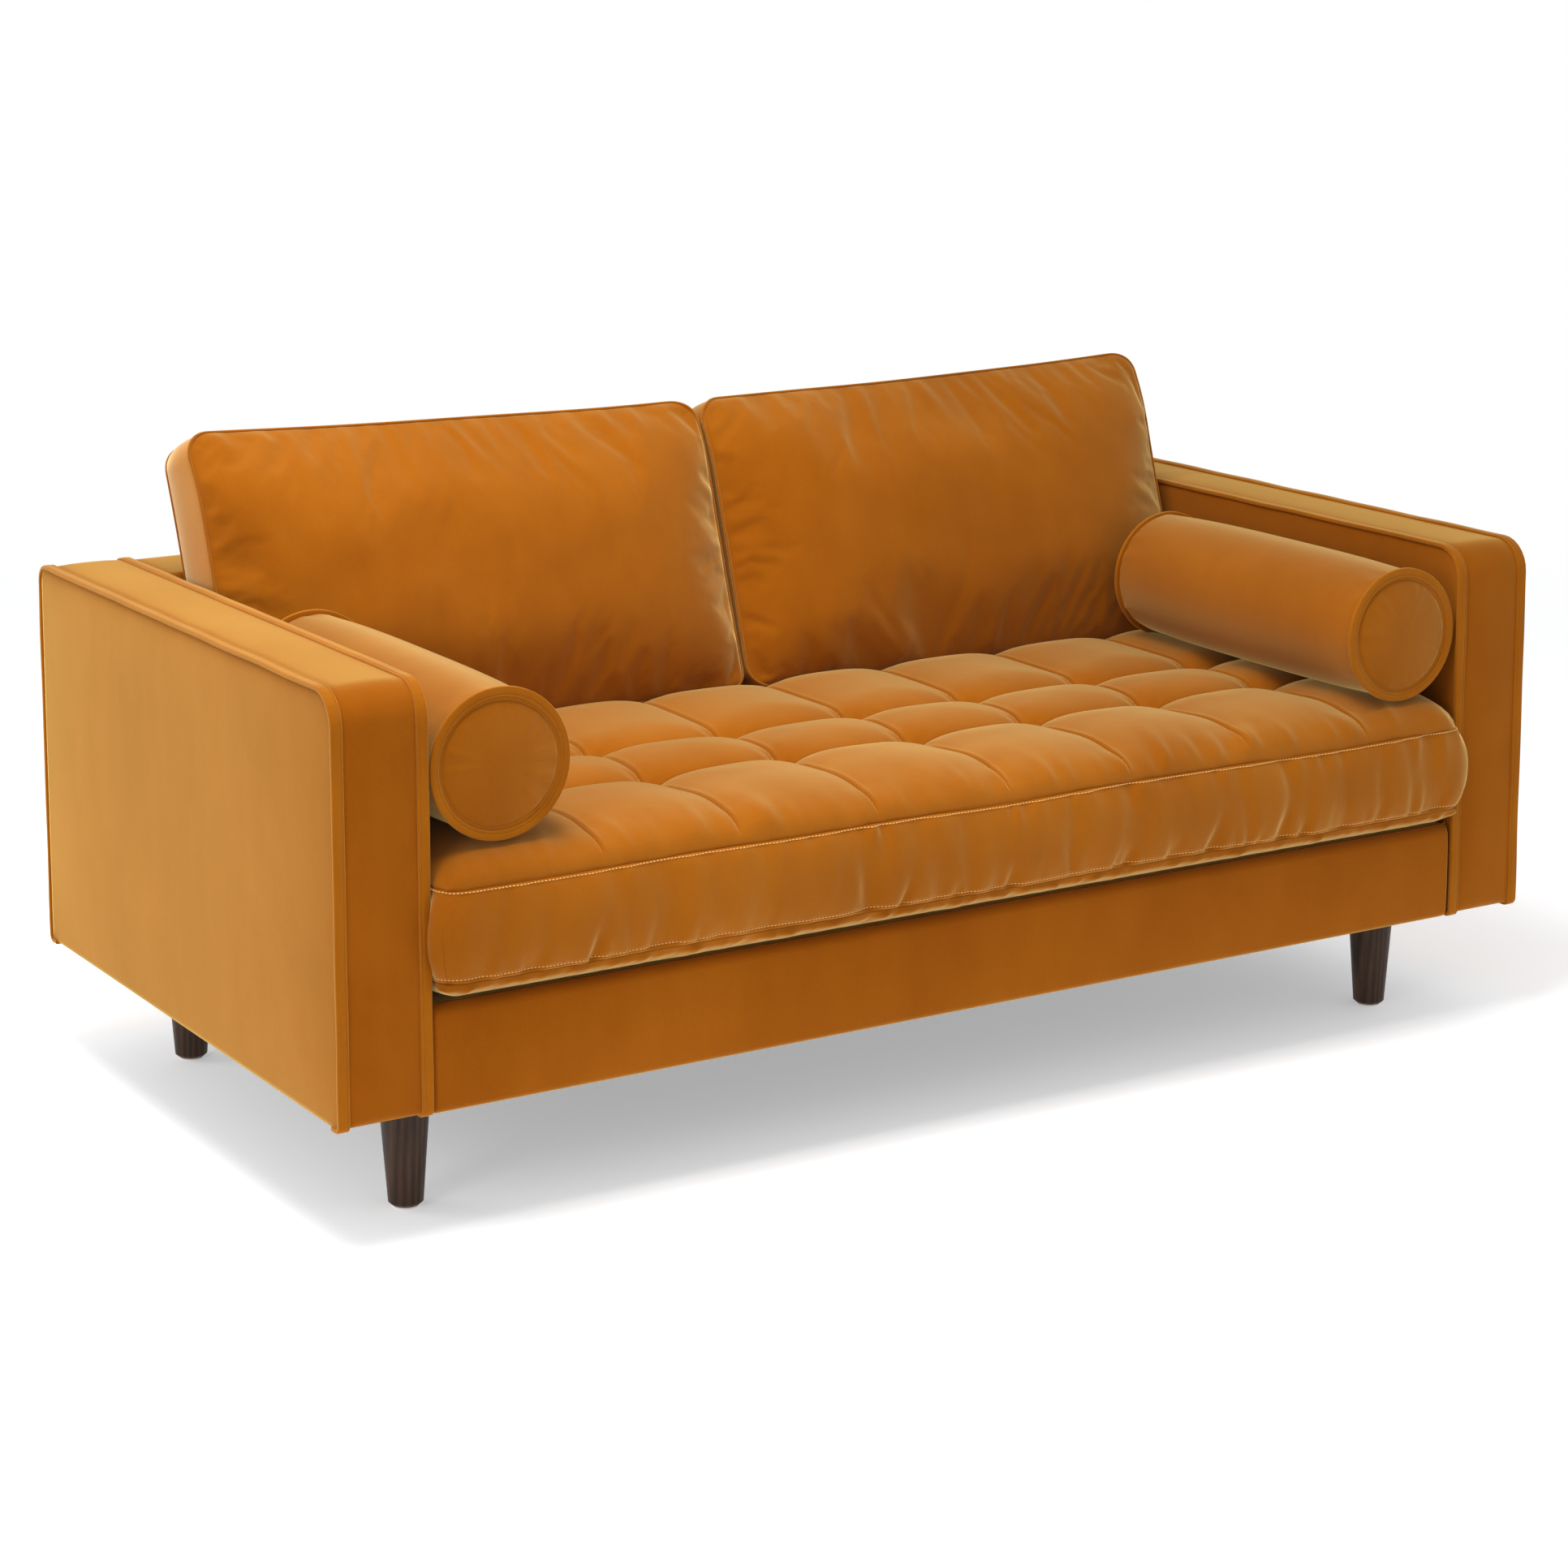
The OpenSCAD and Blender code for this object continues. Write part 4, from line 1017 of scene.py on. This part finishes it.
def seat_surface(x, y, d_front, d_rear, d_side):
    """Height of the cushion's top, and how far it has sunk below its crown."""
    rise = (crown_level - seam_level) * shoulder(d_front, 0.125, 2.1)
    rise *= shoulder(d_side, 0.075, 2.2) * shoulder(d_rear, 0.07, 2.2)
    a, _ = nearest(x, channel_marks)
    b, _ = nearest(y, tuft_rows)
    to_front = np.clip((tuft_rows[0] - y) / (tuft_rows[0] - seat_front), 0, 1)
    ahead = line_more_inwards * (1 - to_front) ** 1.7 + line_at_edge
    line_depth = np.where(y < tuft_rows[0], ahead, line_behind)
    between = line_between + line_more_between * (abs(2 * (y - tuft_rows[0]) / 0.15 - 1)) ** 2.5
    line_depth = np.where((y > tuft_rows[0]) & (y < tuft_rows[1]), between, line_depth)
    line_depth *= np.clip(d_front / 0.05, 0, 1) ** 0.8
    sides = np.clip(abs(a) / half_channel, 0, 1)
    channel = line_depth * (1 - shoulder(sides, 1.0, 1.75))
    row_depth = row_least + row_more * (1 - sides) ** 2
    row_depth = row_depth * np.clip(d_side / 0.05, 0, 1)
    row = row_depth * (1 - shoulder(abs(b), 0.082, 1.7))
    row = np.where(b > 0, row_depth * (1 - shoulder(b, 0.070, 1.75)), row)
    sunk = (channel ** 2.2 + row ** 2.2) ** (1 / 2.2)
    pit = np.hypot(a, b)
    sunk = sunk + pit_depth * np.exp(-pit / pit_reach)
    return seam_level + rise, sunk, a, b, pit


edge_steps = (0.00004, 0.0003, 0.0009, 0.0019, 0.0034, 0.0055)
seat_x = panel_lines(-seat_half, seat_half, 0.0038, channel_marks, 0.0011)
seat_x = np.unique(np.concatenate([seat_x, [seat_half - e for e in edge_steps],
                                   [e - seat_half for e in edge_steps]]))
seat_y = panel_lines(seat_front, seat_rear, 0.0085, tuft_rows, 0.0014)
seat_y = np.unique(np.concatenate([seat_y, [seat_front + e for e in edge_steps]]))
xs, ys = rounded_panel(seat_x, seat_y, (seat_turn,) * 4)
flat_x, flat_y = np.meshgrid(seat_x, seat_y, indexing="ij")
d_front = flat_y - seat_front
d_rear = seat_rear - flat_y
d_side = seat_half - abs(flat_x)
top_z, sunk, a, b, pit = seat_surface(xs, ys, d_front, d_rear, d_side)
seat_wave = slow_wave(1.0, 81, 0.55)
lively = 0.0016 * seat_wave(xs * 0.9 + ys) * shoulder(d_front, 0.1, 2)
top_z = top_z + lively - sunk
stitch_dip = 0.0032 * np.exp(-(a / 0.0014) ** 2) - 0.0017 * np.exp(-((a - 0.0042) / 0.0022) ** 2)
stitch_dip -= 0.0006 * np.exp(-((a + 0.0045) / 0.0024) ** 2)
top_z -= stitch_dip * np.clip(d_front / 0.01, 0, 1) * np.clip(d_rear / 0.01, 0, 1)
top_z += folds(xs + seat_half, d_front, 2 * seat_half, 150, 82, (0.006, 0.013), (0.015, 0.06),
               (0.0010, 0.0034), 0.3) * (d_front > 0)
twist = np.arctan2(b, a)
top_z += 0.0011 * np.cos(7 * twist + 1.3) * np.exp(-((pit - 0.022) / 0.016) ** 2)
# the bolsters and the back cushions press the top down a little where they rest
bolster_x = 0.6945
bolster_r = 0.093
bolster_axis_z = 0.5725
for place in (-bolster_x, bolster_x):
    gap = np.clip(bolster_r ** 2 - (xs - place) ** 2, 0, None)
    under = bolster_axis_z - np.sqrt(gap)
    pressed = (abs(xs - place) < bolster_r * 0.75) & (ys > -0.450) & (ys < 0.095)
    top_z = np.where(pressed, np.minimum(top_z, under + 0.001), top_z)
rest_level = 0.472
rest = np.clip((ys - 0.140) / 0.04, 0, 1)
top_z -= rest * np.clip(top_z - rest_level, 0, None) * 0.9

near = np.stack([xs, ys, top_z], axis=2)
walk = rim_walk(*xs.shape)
ring = np.stack([xs[walk[:, 0], walk[:, 1]], ys[walk[:, 0], walk[:, 1]]], axis=1)
ring_z = top_z[walk[:, 0], walk[:, 1]]
out = rim_normals(ring)
steps = np.hypot(*(np.roll(ring, -1, axis=0) - ring).T)
ring_s = np.concatenate([[0], np.cumsum(steps)[:-1]])
ring_length = steps.sum()
frontal = np.clip(-out[:, 1], 0, 1)
seam_wander = slow_wave(1.0, 83, 0.7)(ring_s) * 0.0022
rim_pull = 0.0012
near[walk[:, 0], walk[:, 1], 2] += seam_wander
near[walk[:, 0], walk[:, 1], :2] -= out * rim_pull
ring_z = ring_z + seam_wander
# in front of the arms the sides of the border are free to swell
arm_front_y = -0.445
free = np.clip((arm_front_y - ring[:, 1]) / 0.004, 0, 1)
stitch_groove = 0.0012
most_gather = 0.0062
bunch = 0.65 + 0.45 * np.clip(0.5 + 0.9 * slow_wave(1.0, 87, 0.5)(ring_s), 0, 1)
band = []
for share in (0.008, 0.020, 0.040, 0.08, 0.125, 0.17, 0.22, 0.27, 0.32, 0.37, 0.42, 0.47, 0.52, 0.57,
              0.62, 0.67, 0.72, 0.77, 0.82, 0.87, 0.91, 0.936, 0.951, 0.968, 0.984, 0.994):
    level = ring_z + (under_level + seam_wander * 0.6 - ring_z) * share
    puff = 0.0115 * swell(share, 2.0) * (0.15 + 0.85 * np.maximum(frontal, free))
    puff = puff + free * (1 - frontal) * 0.016 * swell(share, 2.4)
    t_up = np.full(len(ring_s), (1 - share) * (seam_level - under_level))
    t_down = np.full(len(ring_s), share * (seam_level - under_level))
    gather = folds(ring_s, t_up, ring_length, 520, 84, (0.0055, 0.012), (0.02, 0.08),
                   (0.0026, 0.0080), 0.35)
    gather += folds(ring_s, t_down, ring_length, 380, 85, (0.0055, 0.012), (0.012, 0.05),
                    (0.0014, 0.0046), 0.35)
    gather += folds(ring_s, t_up, ring_length, 210, 86, (0.006, 0.015), (0.2, 0.4),
                    (0.0016, 0.0054), 0.25) * swell(share, 2.0)
    gather = most_gather * np.tanh(gather / most_gather)
    if 0.94 < share < 0.96:
        puff = puff - stitch_groove
    if share > 0.98:
        puff = puff + stitch_groove / 2
    moved = ring + out * (puff + gather * bunch * (0.25 + 0.75 * frontal))[:, None]
    band.append(np.stack([moved[:, 0], moved[:, 1], level], axis=1))
# under the lower seam the cover rolls out a little and then in to the flat bottom
d_edge = np.minimum(np.minimum(d_front, d_rear), d_side)
lifted = 0.012 * (1 - np.clip(d_front / 0.07, 0, 1)) ** 1.2
bottom_z = under_level + (seat_floor + lifted - under_level) * shoulder(d_edge, 0.042, 2.0)
roll = 0.0030 * np.exp(-((d_front - 0.005) / 0.010) ** 2) * np.clip(d_front / 0.003, 0, 1)
puckers = folds(xs + seat_half, d_front, 2 * seat_half, 210, 88, (0.0045, 0.009), (0.01, 0.03),
                (0.0010, 0.0030), 1.1)
side_roll = 0.006 * np.exp(-((d_side - 0.006) / 0.012) ** 2) * np.clip(d_side / 0.003, 0, 1)
side_roll = side_roll * np.clip((arm_front_y - ys) / 0.004, 0, 1)
far = np.stack([xs + np.sign(xs) * side_roll, ys - roll - puckers, bottom_z], axis=2)
far[walk[:, 0], walk[:, 1], 2] = under_level + seam_wander * 0.6
far[walk[:, 0], walk[:, 1], 0] = ring[:, 0] - out[:, 0] * rim_pull
far[walk[:, 0], walk[:, 1], 1] = ring[:, 1] - out[:, 1] * rim_pull

seat = boxed_mesh("tufted_seat_cushion", near, far, band)
# the flat floor of the cushion becomes one face
floor_faces = [f.index for f in seat.data.polygons
               if f.normal.z < -0.9999 and f.center.z < seat_floor + 0.0002]
bpy.ops.object.mode_set(mode="EDIT")
bpy.ops.mesh.select_mode(type="FACE")
bpy.ops.mesh.select_all(action="DESELECT")
bpy.ops.object.mode_set(mode="OBJECT")
for index in floor_faces:
    seat.data.polygons[index].select = True
bpy.ops.object.mode_set(mode="EDIT")
bpy.ops.mesh.dissolve_faces()
bpy.ops.object.mode_set(mode="OBJECT")
seat.data.materials.append(velvet)
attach(seat, "seat_cushion")
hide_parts("seat_cushion_cover", "seat_foam", "seat_tuft_ties")


# ---------- seat topstitch ----------
# A row of heavy thread shows on the border beside each of the two front seams.
def thread_row(points, out, pitch, length, radius):
    """Small rounded stitches along a line of points; returns their vertices and faces."""
    gaps = np.linalg.norm(np.diff(points, axis=0), axis=1)
    run = np.concatenate([[0], np.cumsum(gaps)])
    verts, faces = [], []
    for start in np.arange(pitch / 2, run[-1] - pitch, pitch):
        ends = [np.array([np.interp(start + d, run, points[:, k]) for k in range(3)])
                for d in (0, length)]
        up = np.array([np.interp(start, run, out[:, k]) for k in range(3)])
        along = (ends[1] - ends[0]) / np.linalg.norm(ends[1] - ends[0])
        side = np.cross(along, up)
        base = len(verts)
        verts.append(ends[0] - up * radius * 0.6)
        for share in (0.18, 0.82):
            for k in range(6):
                angle = math.pi * k / 3
                verts.append(ends[0] + (ends[1] - ends[0]) * share
                             + (up * math.cos(angle) + side * math.sin(angle)) * radius)
        verts.append(ends[1] - up * radius * 0.6)
        for k in range(6):
            m = (k + 1) % 6
            faces.append((base, base + 1 + m, base + 1 + k))
            faces.append((base + 1 + k, base + 1 + m, base + 7 + m, base + 7 + k))
            faces.append((base + 7 + k, base + 7 + m, base + 13))
    return verts, faces


front_arc = np.argsort(np.arctan2(ring[:, 0], -ring[:, 1] * 4))
front_arc = [k for k in front_arc if ring[k, 1] < -0.435]
stitch_pitch = 0.0048
stitch_length = 0.0040
thread_radius = 0.0008
stitch_points = []
stitch_faces = []
for row in (1, len(band) - 4):
    line = band[row][front_arc]
    facing = np.concatenate([out[front_arc], np.zeros((len(front_arc), 1))], axis=1)
    verts, faces = thread_row(line + facing * thread_radius, facing, stitch_pitch, stitch_length,
                              thread_radius)
    stitch_faces += [tuple(i + len(stitch_points) for i in f) for f in faces]
    stitch_points += verts
thread = shell("seat_topstitch", np.array(stitch_points), stitch_faces)
thread.data.materials.append(plain_finish("ochre_thread", (0.66, 0.33, 0.09, 1), 0.6, 900.0, 0.0001))
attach(thread, "seat_cushion")


# ---------- back cushions ----------
# Two loose cushions of fibre in a velvet case: two panels, a boxing strip between them and a
# fine piping in both seams. They stand on the seat and lean against the back.
lean_up = np.array([0.0, math.sin(lean), math.cos(lean)])
lean_out = np.array([0.0, -math.cos(lean), math.sin(lean)])
piping_radius = 0.0021
cushion_tall = 0.434
cushion_thick = 0.092
cushion_foot = np.array([0.0, 0.1445, 0.466])
cushion_crown = 0.044
rear_crown = 0.008
rear_crown_above = 0.014     # more where the back no longer holds it
top_roll = 0.022
boxing_rows = 12
# the boxing strip gets a much paler copy of the velvet: a painted highlight for the light that falls on
# it from the left and behind
velvet_painted_highlight = velvet_finish("mustard_velvet_painted_highlight", (0.400, 0.165, 0.034, 1),
                              (0.480, 0.215, 0.060, 1), 3.4, 1.0, (1.0, 0.82, 0.48, 1), 0.35)


def stuff(piece, held, pressure, frames, cap, grow):
    """Fills a case: the cloth swells under pressure while its seams are held."""
    sewn = piece.vertex_groups.new(name="sewn")
    sewn.add([int(v) for v in held], 1.0, "REPLACE")
    before = np.empty(len(piece.data.vertices) * 3, np.float32)
    piece.data.vertices.foreach_get("co", before)
    before = before.reshape(-1, 3)
    filling = piece.modifiers.new("filling", "CLOTH")
    cloth = filling.settings
    cloth.vertex_group_mass = "sewn"
    cloth.quality = 4
    cloth.mass = 0.15
    cloth.tension_stiffness = 12
    cloth.compression_stiffness = 12
    cloth.shear_stiffness = 5
    cloth.bending_stiffness = 0.25
    cloth.shrink_min = -grow
    cloth.use_pressure = True
    cloth.uniform_pressure_force = pressure
    cloth.effector_weights.gravity = 0
    filling.point_cache.frame_start = 1
    filling.point_cache.frame_end = frames
    for step in range(1, frames + 1):
        studio.frame_set(step)
    shaped = piece.evaluated_get(bpy.context.evaluated_depsgraph_get())
    after = np.empty(len(before) * 3, np.float32)
    shaped.data.vertices.foreach_get("co", after)
    after = after.reshape(-1, 3)
    moved = after - before
    far = np.linalg.norm(moved, axis=1, keepdims=True)
    moved *= np.where(far > 1e-9, cap * np.tanh(far / cap) / np.maximum(far, 1e-9), 0)
    piece.modifiers.remove(filling)
    piece.data.vertices.foreach_set("co", (before + moved).astype(np.float32).ravel())
    piece.data.update()
    studio.frame_set(1)


def round_cord(name, ring, radius, sides=8):
    """A closed cord along a ring of 3-D points."""
    along = np.roll(ring, -1, axis=0) - np.roll(ring, 1, axis=0)
    along /= np.linalg.norm(along, axis=1, keepdims=True)
    middle = ring.mean(axis=0)
    out = ring - middle
    out -= along * np.sum(out * along, axis=1, keepdims=True)
    out /= np.linalg.norm(out, axis=1, keepdims=True)
    side = np.cross(along, out)
    section = [(radius * math.cos(2 * math.pi * k / sides), radius * math.sin(2 * math.pi * k / sides))
               for k in range(sides)]
    return strip_mesh(name, ring, out, side, section, True)


for side, name in ((-1, "left"), (1, "right")):
    low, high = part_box(name + "_back_piping")
    inner_x = min(abs(low.x), abs(high.x)) + 0.002
    outer_x = max(abs(low.x), abs(high.x)) - 0.010
    wide = outer_x - inner_x
    tall = cushion_tall
    count_a, count_b = 124, 70
    a_lines = np.linspace(0, wide, count_a)
    b_lines = np.linspace(0, tall, count_b)
    pa, pb = rounded_panel(a_lines, b_lines, (0.030, 0.030, 0.036, 0.036))
    u = pa / wide
    v = pb / tall
    # sides pulled in between the corners, and the top edge a little lower towards the middle
    waist_a = swell(v, 2.0) * np.where(u < 0.5, 0.002 * (1 - 2 * u).clip(0, 1) ** 2,
                                       -0.006 * (2 * u - 1).clip(0, 1) ** 2)
    slope = (-0.015 * (1 - u) + 0.001) * v
    hang = slow_wave(1.0, 91 + side, 0.8)(pa) * 0.0018 * (2 * v - 1)
    pb2 = pb + slope + hang - 0.005 * swell(u, 2.0) * np.clip(2 * v - 1, 0, 1) ** 2
    pa2 = pa + waist_a
    front = cushion_foot + lean_up * pb2[..., None]
    front[..., 0] = side * (inner_x + pa2)
    rear_face = front - lean_out * cushion_thick
    rear_face[..., 2] -= 0.006 * v
    front = front - lean_out * (top_roll * np.clip((v - 0.74) / 0.26, 0, 1) ** 2)[..., None]
    crown = (shoulder(pa, 0.22, 1.9) * shoulder(wide - pa, 0.22, 1.9)
             * shoulder(pb, 0.14, 2.0) * shoulder(tall - pb, 0.22, 1.9))
    lumpy = slow_wave(1.0, 95 + side, 0.5)(pa + 0.6 * pb) * slow_wave(1.0, 97 + side, 0.4)(pb)
    face_out = cushion_crown * crown * (1 + 0.10 * lumpy)
    face_out += folds(pa, tall - pb, wide, 34, 111 + side, (0.006, 0.012), (0.02, 0.06),
                      (0.0008, 0.0028), 0.5)
    face_out += folds(pb, pa, tall, 12, 113 + side, (0.006, 0.010), (0.012, 0.035),
                      (0.0006, 0.0018), 0.5)
    face_out += folds(pa, pb, 0.42 if side > 0 else 0.2, 14 if side > 0 else 3, 116 + side,
                      (0.007, 0.013), (0.04, 0.13), (0.0014, 0.0036), 0.45)
    front_grid = front + lean_out * face_out[..., None]
    above_back = np.clip((v - 0.54) / 0.16, 0, 1)
    rear_out = crown * (rear_crown + rear_crown_above * above_back * (1 + 0.3 * lumpy))
    rear_out += above_back * folds(pa, tall - pb, wide, 26, 118 + side, (0.006, 0.012), (0.02, 0.06),
                                   (0.0008, 0.0026), 0.5)
    rear_grid = rear_face - lean_out * rear_out[..., None]
    walk = rim_walk(count_a, count_b)
    rim_a = front_grid[walk[:, 0], walk[:, 1]]
    rim_b = rear_grid[walk[:, 0], walk[:, 1]]
    flat_ring = np.stack([pa2[walk[:, 0], walk[:, 1]], pb2[walk[:, 0], walk[:, 1]]], axis=1)
    out2 = rim_normals(flat_ring)
    out3 = out2[:, 1:2] * lean_up
    out3[:, 0] = side * out2[:, 0]
    band = []
    for k in range(1, boxing_rows):
        share = k / boxing_rows
        room_out = np.clip(0.25 + 0.75 * out2[:, 0] - 0.3 * abs(out2[:, 1]), 0.30, 1.0)
        puff = 0.008 * swell(share, 2.0) * room_out
        band.append(rim_a + (rim_b - rim_a) * share + out3 * puff[:, None])
    case = boxed_mesh(name + "_back_cushion", front_grid, rear_grid, band)
    size = count_a * count_b
    rim_ids = walk[:, 0] * count_b + walk[:, 1]
    held_ids = np.arange(size, len(case.data.vertices))
    stuff(case, np.concatenate([rim_ids, held_ids]), 2.4, 14, 0.024, 0.020)
    where = np.empty(len(case.data.vertices) * 3, np.float32)
    case.data.vertices.foreach_get("co", where)
    where = where.reshape(-1, 3)
    seam_ids = set(int(v) for v in rim_ids) | set(int(v) + size for v in rim_ids)
    crease = case.data.attributes.new("crease_edge", "FLOAT", "EDGE")
    for edge in case.data.edges:
        one, two = edge.vertices
        crease.data[edge.index].value = 0.8 if one in seam_ids and two in seam_ids else 0.0
    # the seams stay crisp when the mesh is made finer
    finer = case.modifiers.new("finer", "SUBSURF")
    finer.levels = 1
    finer.render_levels = 1
    bpy.ops.object.modifier_apply(modifier="finer")
    bpy.ops.object.shade_smooth()
    case.data.materials.append(velvet)
    case.data.materials.append(velvet_painted_highlight)
    quads = (count_a - 1) * (count_b - 1) * 4
    # all of the boxing but its inner end takes the paler copy of the velvet: painted highlight
    for face in case.data.polygons:
        boxing = face.index >= 2 * quads and abs(face.center.x) > inner_x + 0.02
        face.material_index = 1 if boxing else 0
    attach(case, name + "_back_cushion")
    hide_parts(name + "_back_cover", name + "_back_fill")
    cords = []
    for ids, push in ((rim_ids, 1), (rim_ids + size, -1)):
        ring3 = where[ids].astype(float)
        middle = (np.roll(ring3, 1, axis=0) + 2 * ring3 + np.roll(ring3, -1, axis=0)) / 4
        ring3 = middle + lean_out * push * 0.0004 + out3 * 0.0002
        cords.append(round_cord("cord", ring3, piping_radius))
    piping = join_pieces(cords, name + "_back_piping_cord")
    piping.data.materials.append(velvet)
    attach(piping, name + "_back_cushion")
    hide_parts(name + "_back_piping")


# ---------- bolsters ----------
# Two round bolsters of fibre, one against each arm; a disc of velvet closes each end, with a
# flat welt stitched round it, and the body pulls in a little towards the ends.
around = 144
stations = 84
end_waist = 0.0865
bolster_belly = 0.0058
end_dome = 0.0095
disc_edge = 0.875
disc_rings = (0.985, 0.95, 0.90, 0.872, 0.86, 0.845, 0.82, 0.78, 0.72, 0.64, 0.54, 0.42, 0.28, 0.14)
welt_reach = 0.0900
for side, name in ((-1, "left"), (1, "right")):
    low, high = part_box(name + "_bolster_welts")
    centre_x = (low.x + high.x) / 2
    centre_z = (low.z + high.z) / 2
    front_y = low.y + 0.003
    rear_y = high.y - 0.003
    length = rear_y - front_y
    turn = np.linspace(0, 2 * math.pi, around, endpoint=False)
    share = np.linspace(0, 1, stations)
    share = 0.5 - 0.5 * np.cos(math.pi * (0.12 + 0.76 * share))
    share = (share - share[0]) / (share[-1] - share[0])
    s_grid, t_grid = np.meshgrid(share, turn, indexing="ij")
    radius = end_waist + bolster_belly * swell(s_grid, 3.2)
    radius += 0.0009 * np.cos(2 * t_grid + 1.0 + side) + 0.0006 * np.cos(3 * t_grid + 2.0 * s_grid)
    for end, seed in ((0, 105), (1, 106)):
        away = (s_grid if end == 0 else 1 - s_grid) * length
        radius += folds(t_grid * 0.09, away, 2 * math.pi * 0.09, 46, seed + side, (0.004, 0.008),
                        (0.015, 0.05), (0.0004, 0.0014))
    px = centre_x + radius * np.cos(t_grid)
    pz = centre_z + radius * np.sin(t_grid)
    pz = np.maximum(pz, 0.4792 + 0.0006 * np.cos(t_grid * 3))
    px = np.clip(px, centre_x - 0.0935, centre_x + 0.0935)
    py = front_y + s_grid * length
    body = np.stack([px, py, pz], axis=2)
    points = [body.reshape(-1, 3)]
    faces = []
    for r in range(stations - 1):
        for k in range(around):
            m = (k + 1) % around
            faces.append((r * around + k, (r + 1) * around + k, (r + 1) * around + m, r * around + m))
    total = stations * around
    for end, row in ((0, 0), (1, stations - 1)):
        last = [row * around + k for k in range(around)]
        outward = -1 if end == 0 else 1
        edge_y = front_y if end == 0 else rear_y
        rim_x = body[row, :, 0] - centre_x
        rim_z = body[row, :, 2] - centre_z
        for scale in disc_rings:
            open_to = min(scale / disc_edge, 1.0)
            dome = end_dome * (1 - open_to ** 2.4)
            dome -= 0.0012 * math.exp(-((scale - 0.872) / 0.01) ** 2)
            pucker = folds(turn * 0.08, np.full(around, (1 - open_to) * 0.08), 2 * math.pi * 0.08, 44,
                           111 + side + end, (0.003, 0.007), (0.010, 0.036), (0.0004, 0.0016))
            disc = np.stack([centre_x + rim_x * scale,
                             edge_y + outward * (dome + pucker),
                             centre_z + rim_z * scale], axis=1)
            points.append(disc)
            ids = [total + k for k in range(around)]
            total += around
            for k in range(around):
                m = (k + 1) % around
                faces.append((last[k], last[m], ids[m], ids[k]))
            last = ids
        points.append(np.array([[centre_x, edge_y + outward * end_dome, centre_z]]))
        for k in range(around):
            faces.append((last[k], last[(k + 1) % around], total))
        total += 1
    bolster = shell(name + "_bolster", np.concatenate(points), faces)
    bolster.data.materials.append(velvet)
    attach(bolster, name + "_bolster")
    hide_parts(name + "_bolster_cover", name + "_bolster_fill")
    rings = []
    for edge_y, outward in ((front_y, -1), (rear_y, 1)):
        angle = np.linspace(0, 2 * math.pi, 180, endpoint=False)
        wobble = slow_wave(1.0, 121 + side + outward, 1.0, 5)(angle / (2 * math.pi)) * 0.0007
        wobble = wobble * np.sin(angle / 2) ** 2
        reach = welt_reach + wobble
        path = np.stack([centre_x + reach * np.cos(angle), np.full(180, edge_y),
                         centre_z + reach * np.sin(angle)], axis=1)
        radial = np.stack([np.cos(angle), np.zeros(180), np.sin(angle)], axis=1)
        section = flat_section(0.0092, 0.0028, -0.0028, 0.0024, 0.0014)
        rings.append(strip_mesh("ring", path, radial, np.array([0.0, outward, 0.0]), section, True))
    welts = join_pieces(rings, name + "_bolster_flanges")
    welts.data.materials.append(velvet_edge)
    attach(welts, name + "_bolster")
    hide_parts(name + "_bolster_welts")
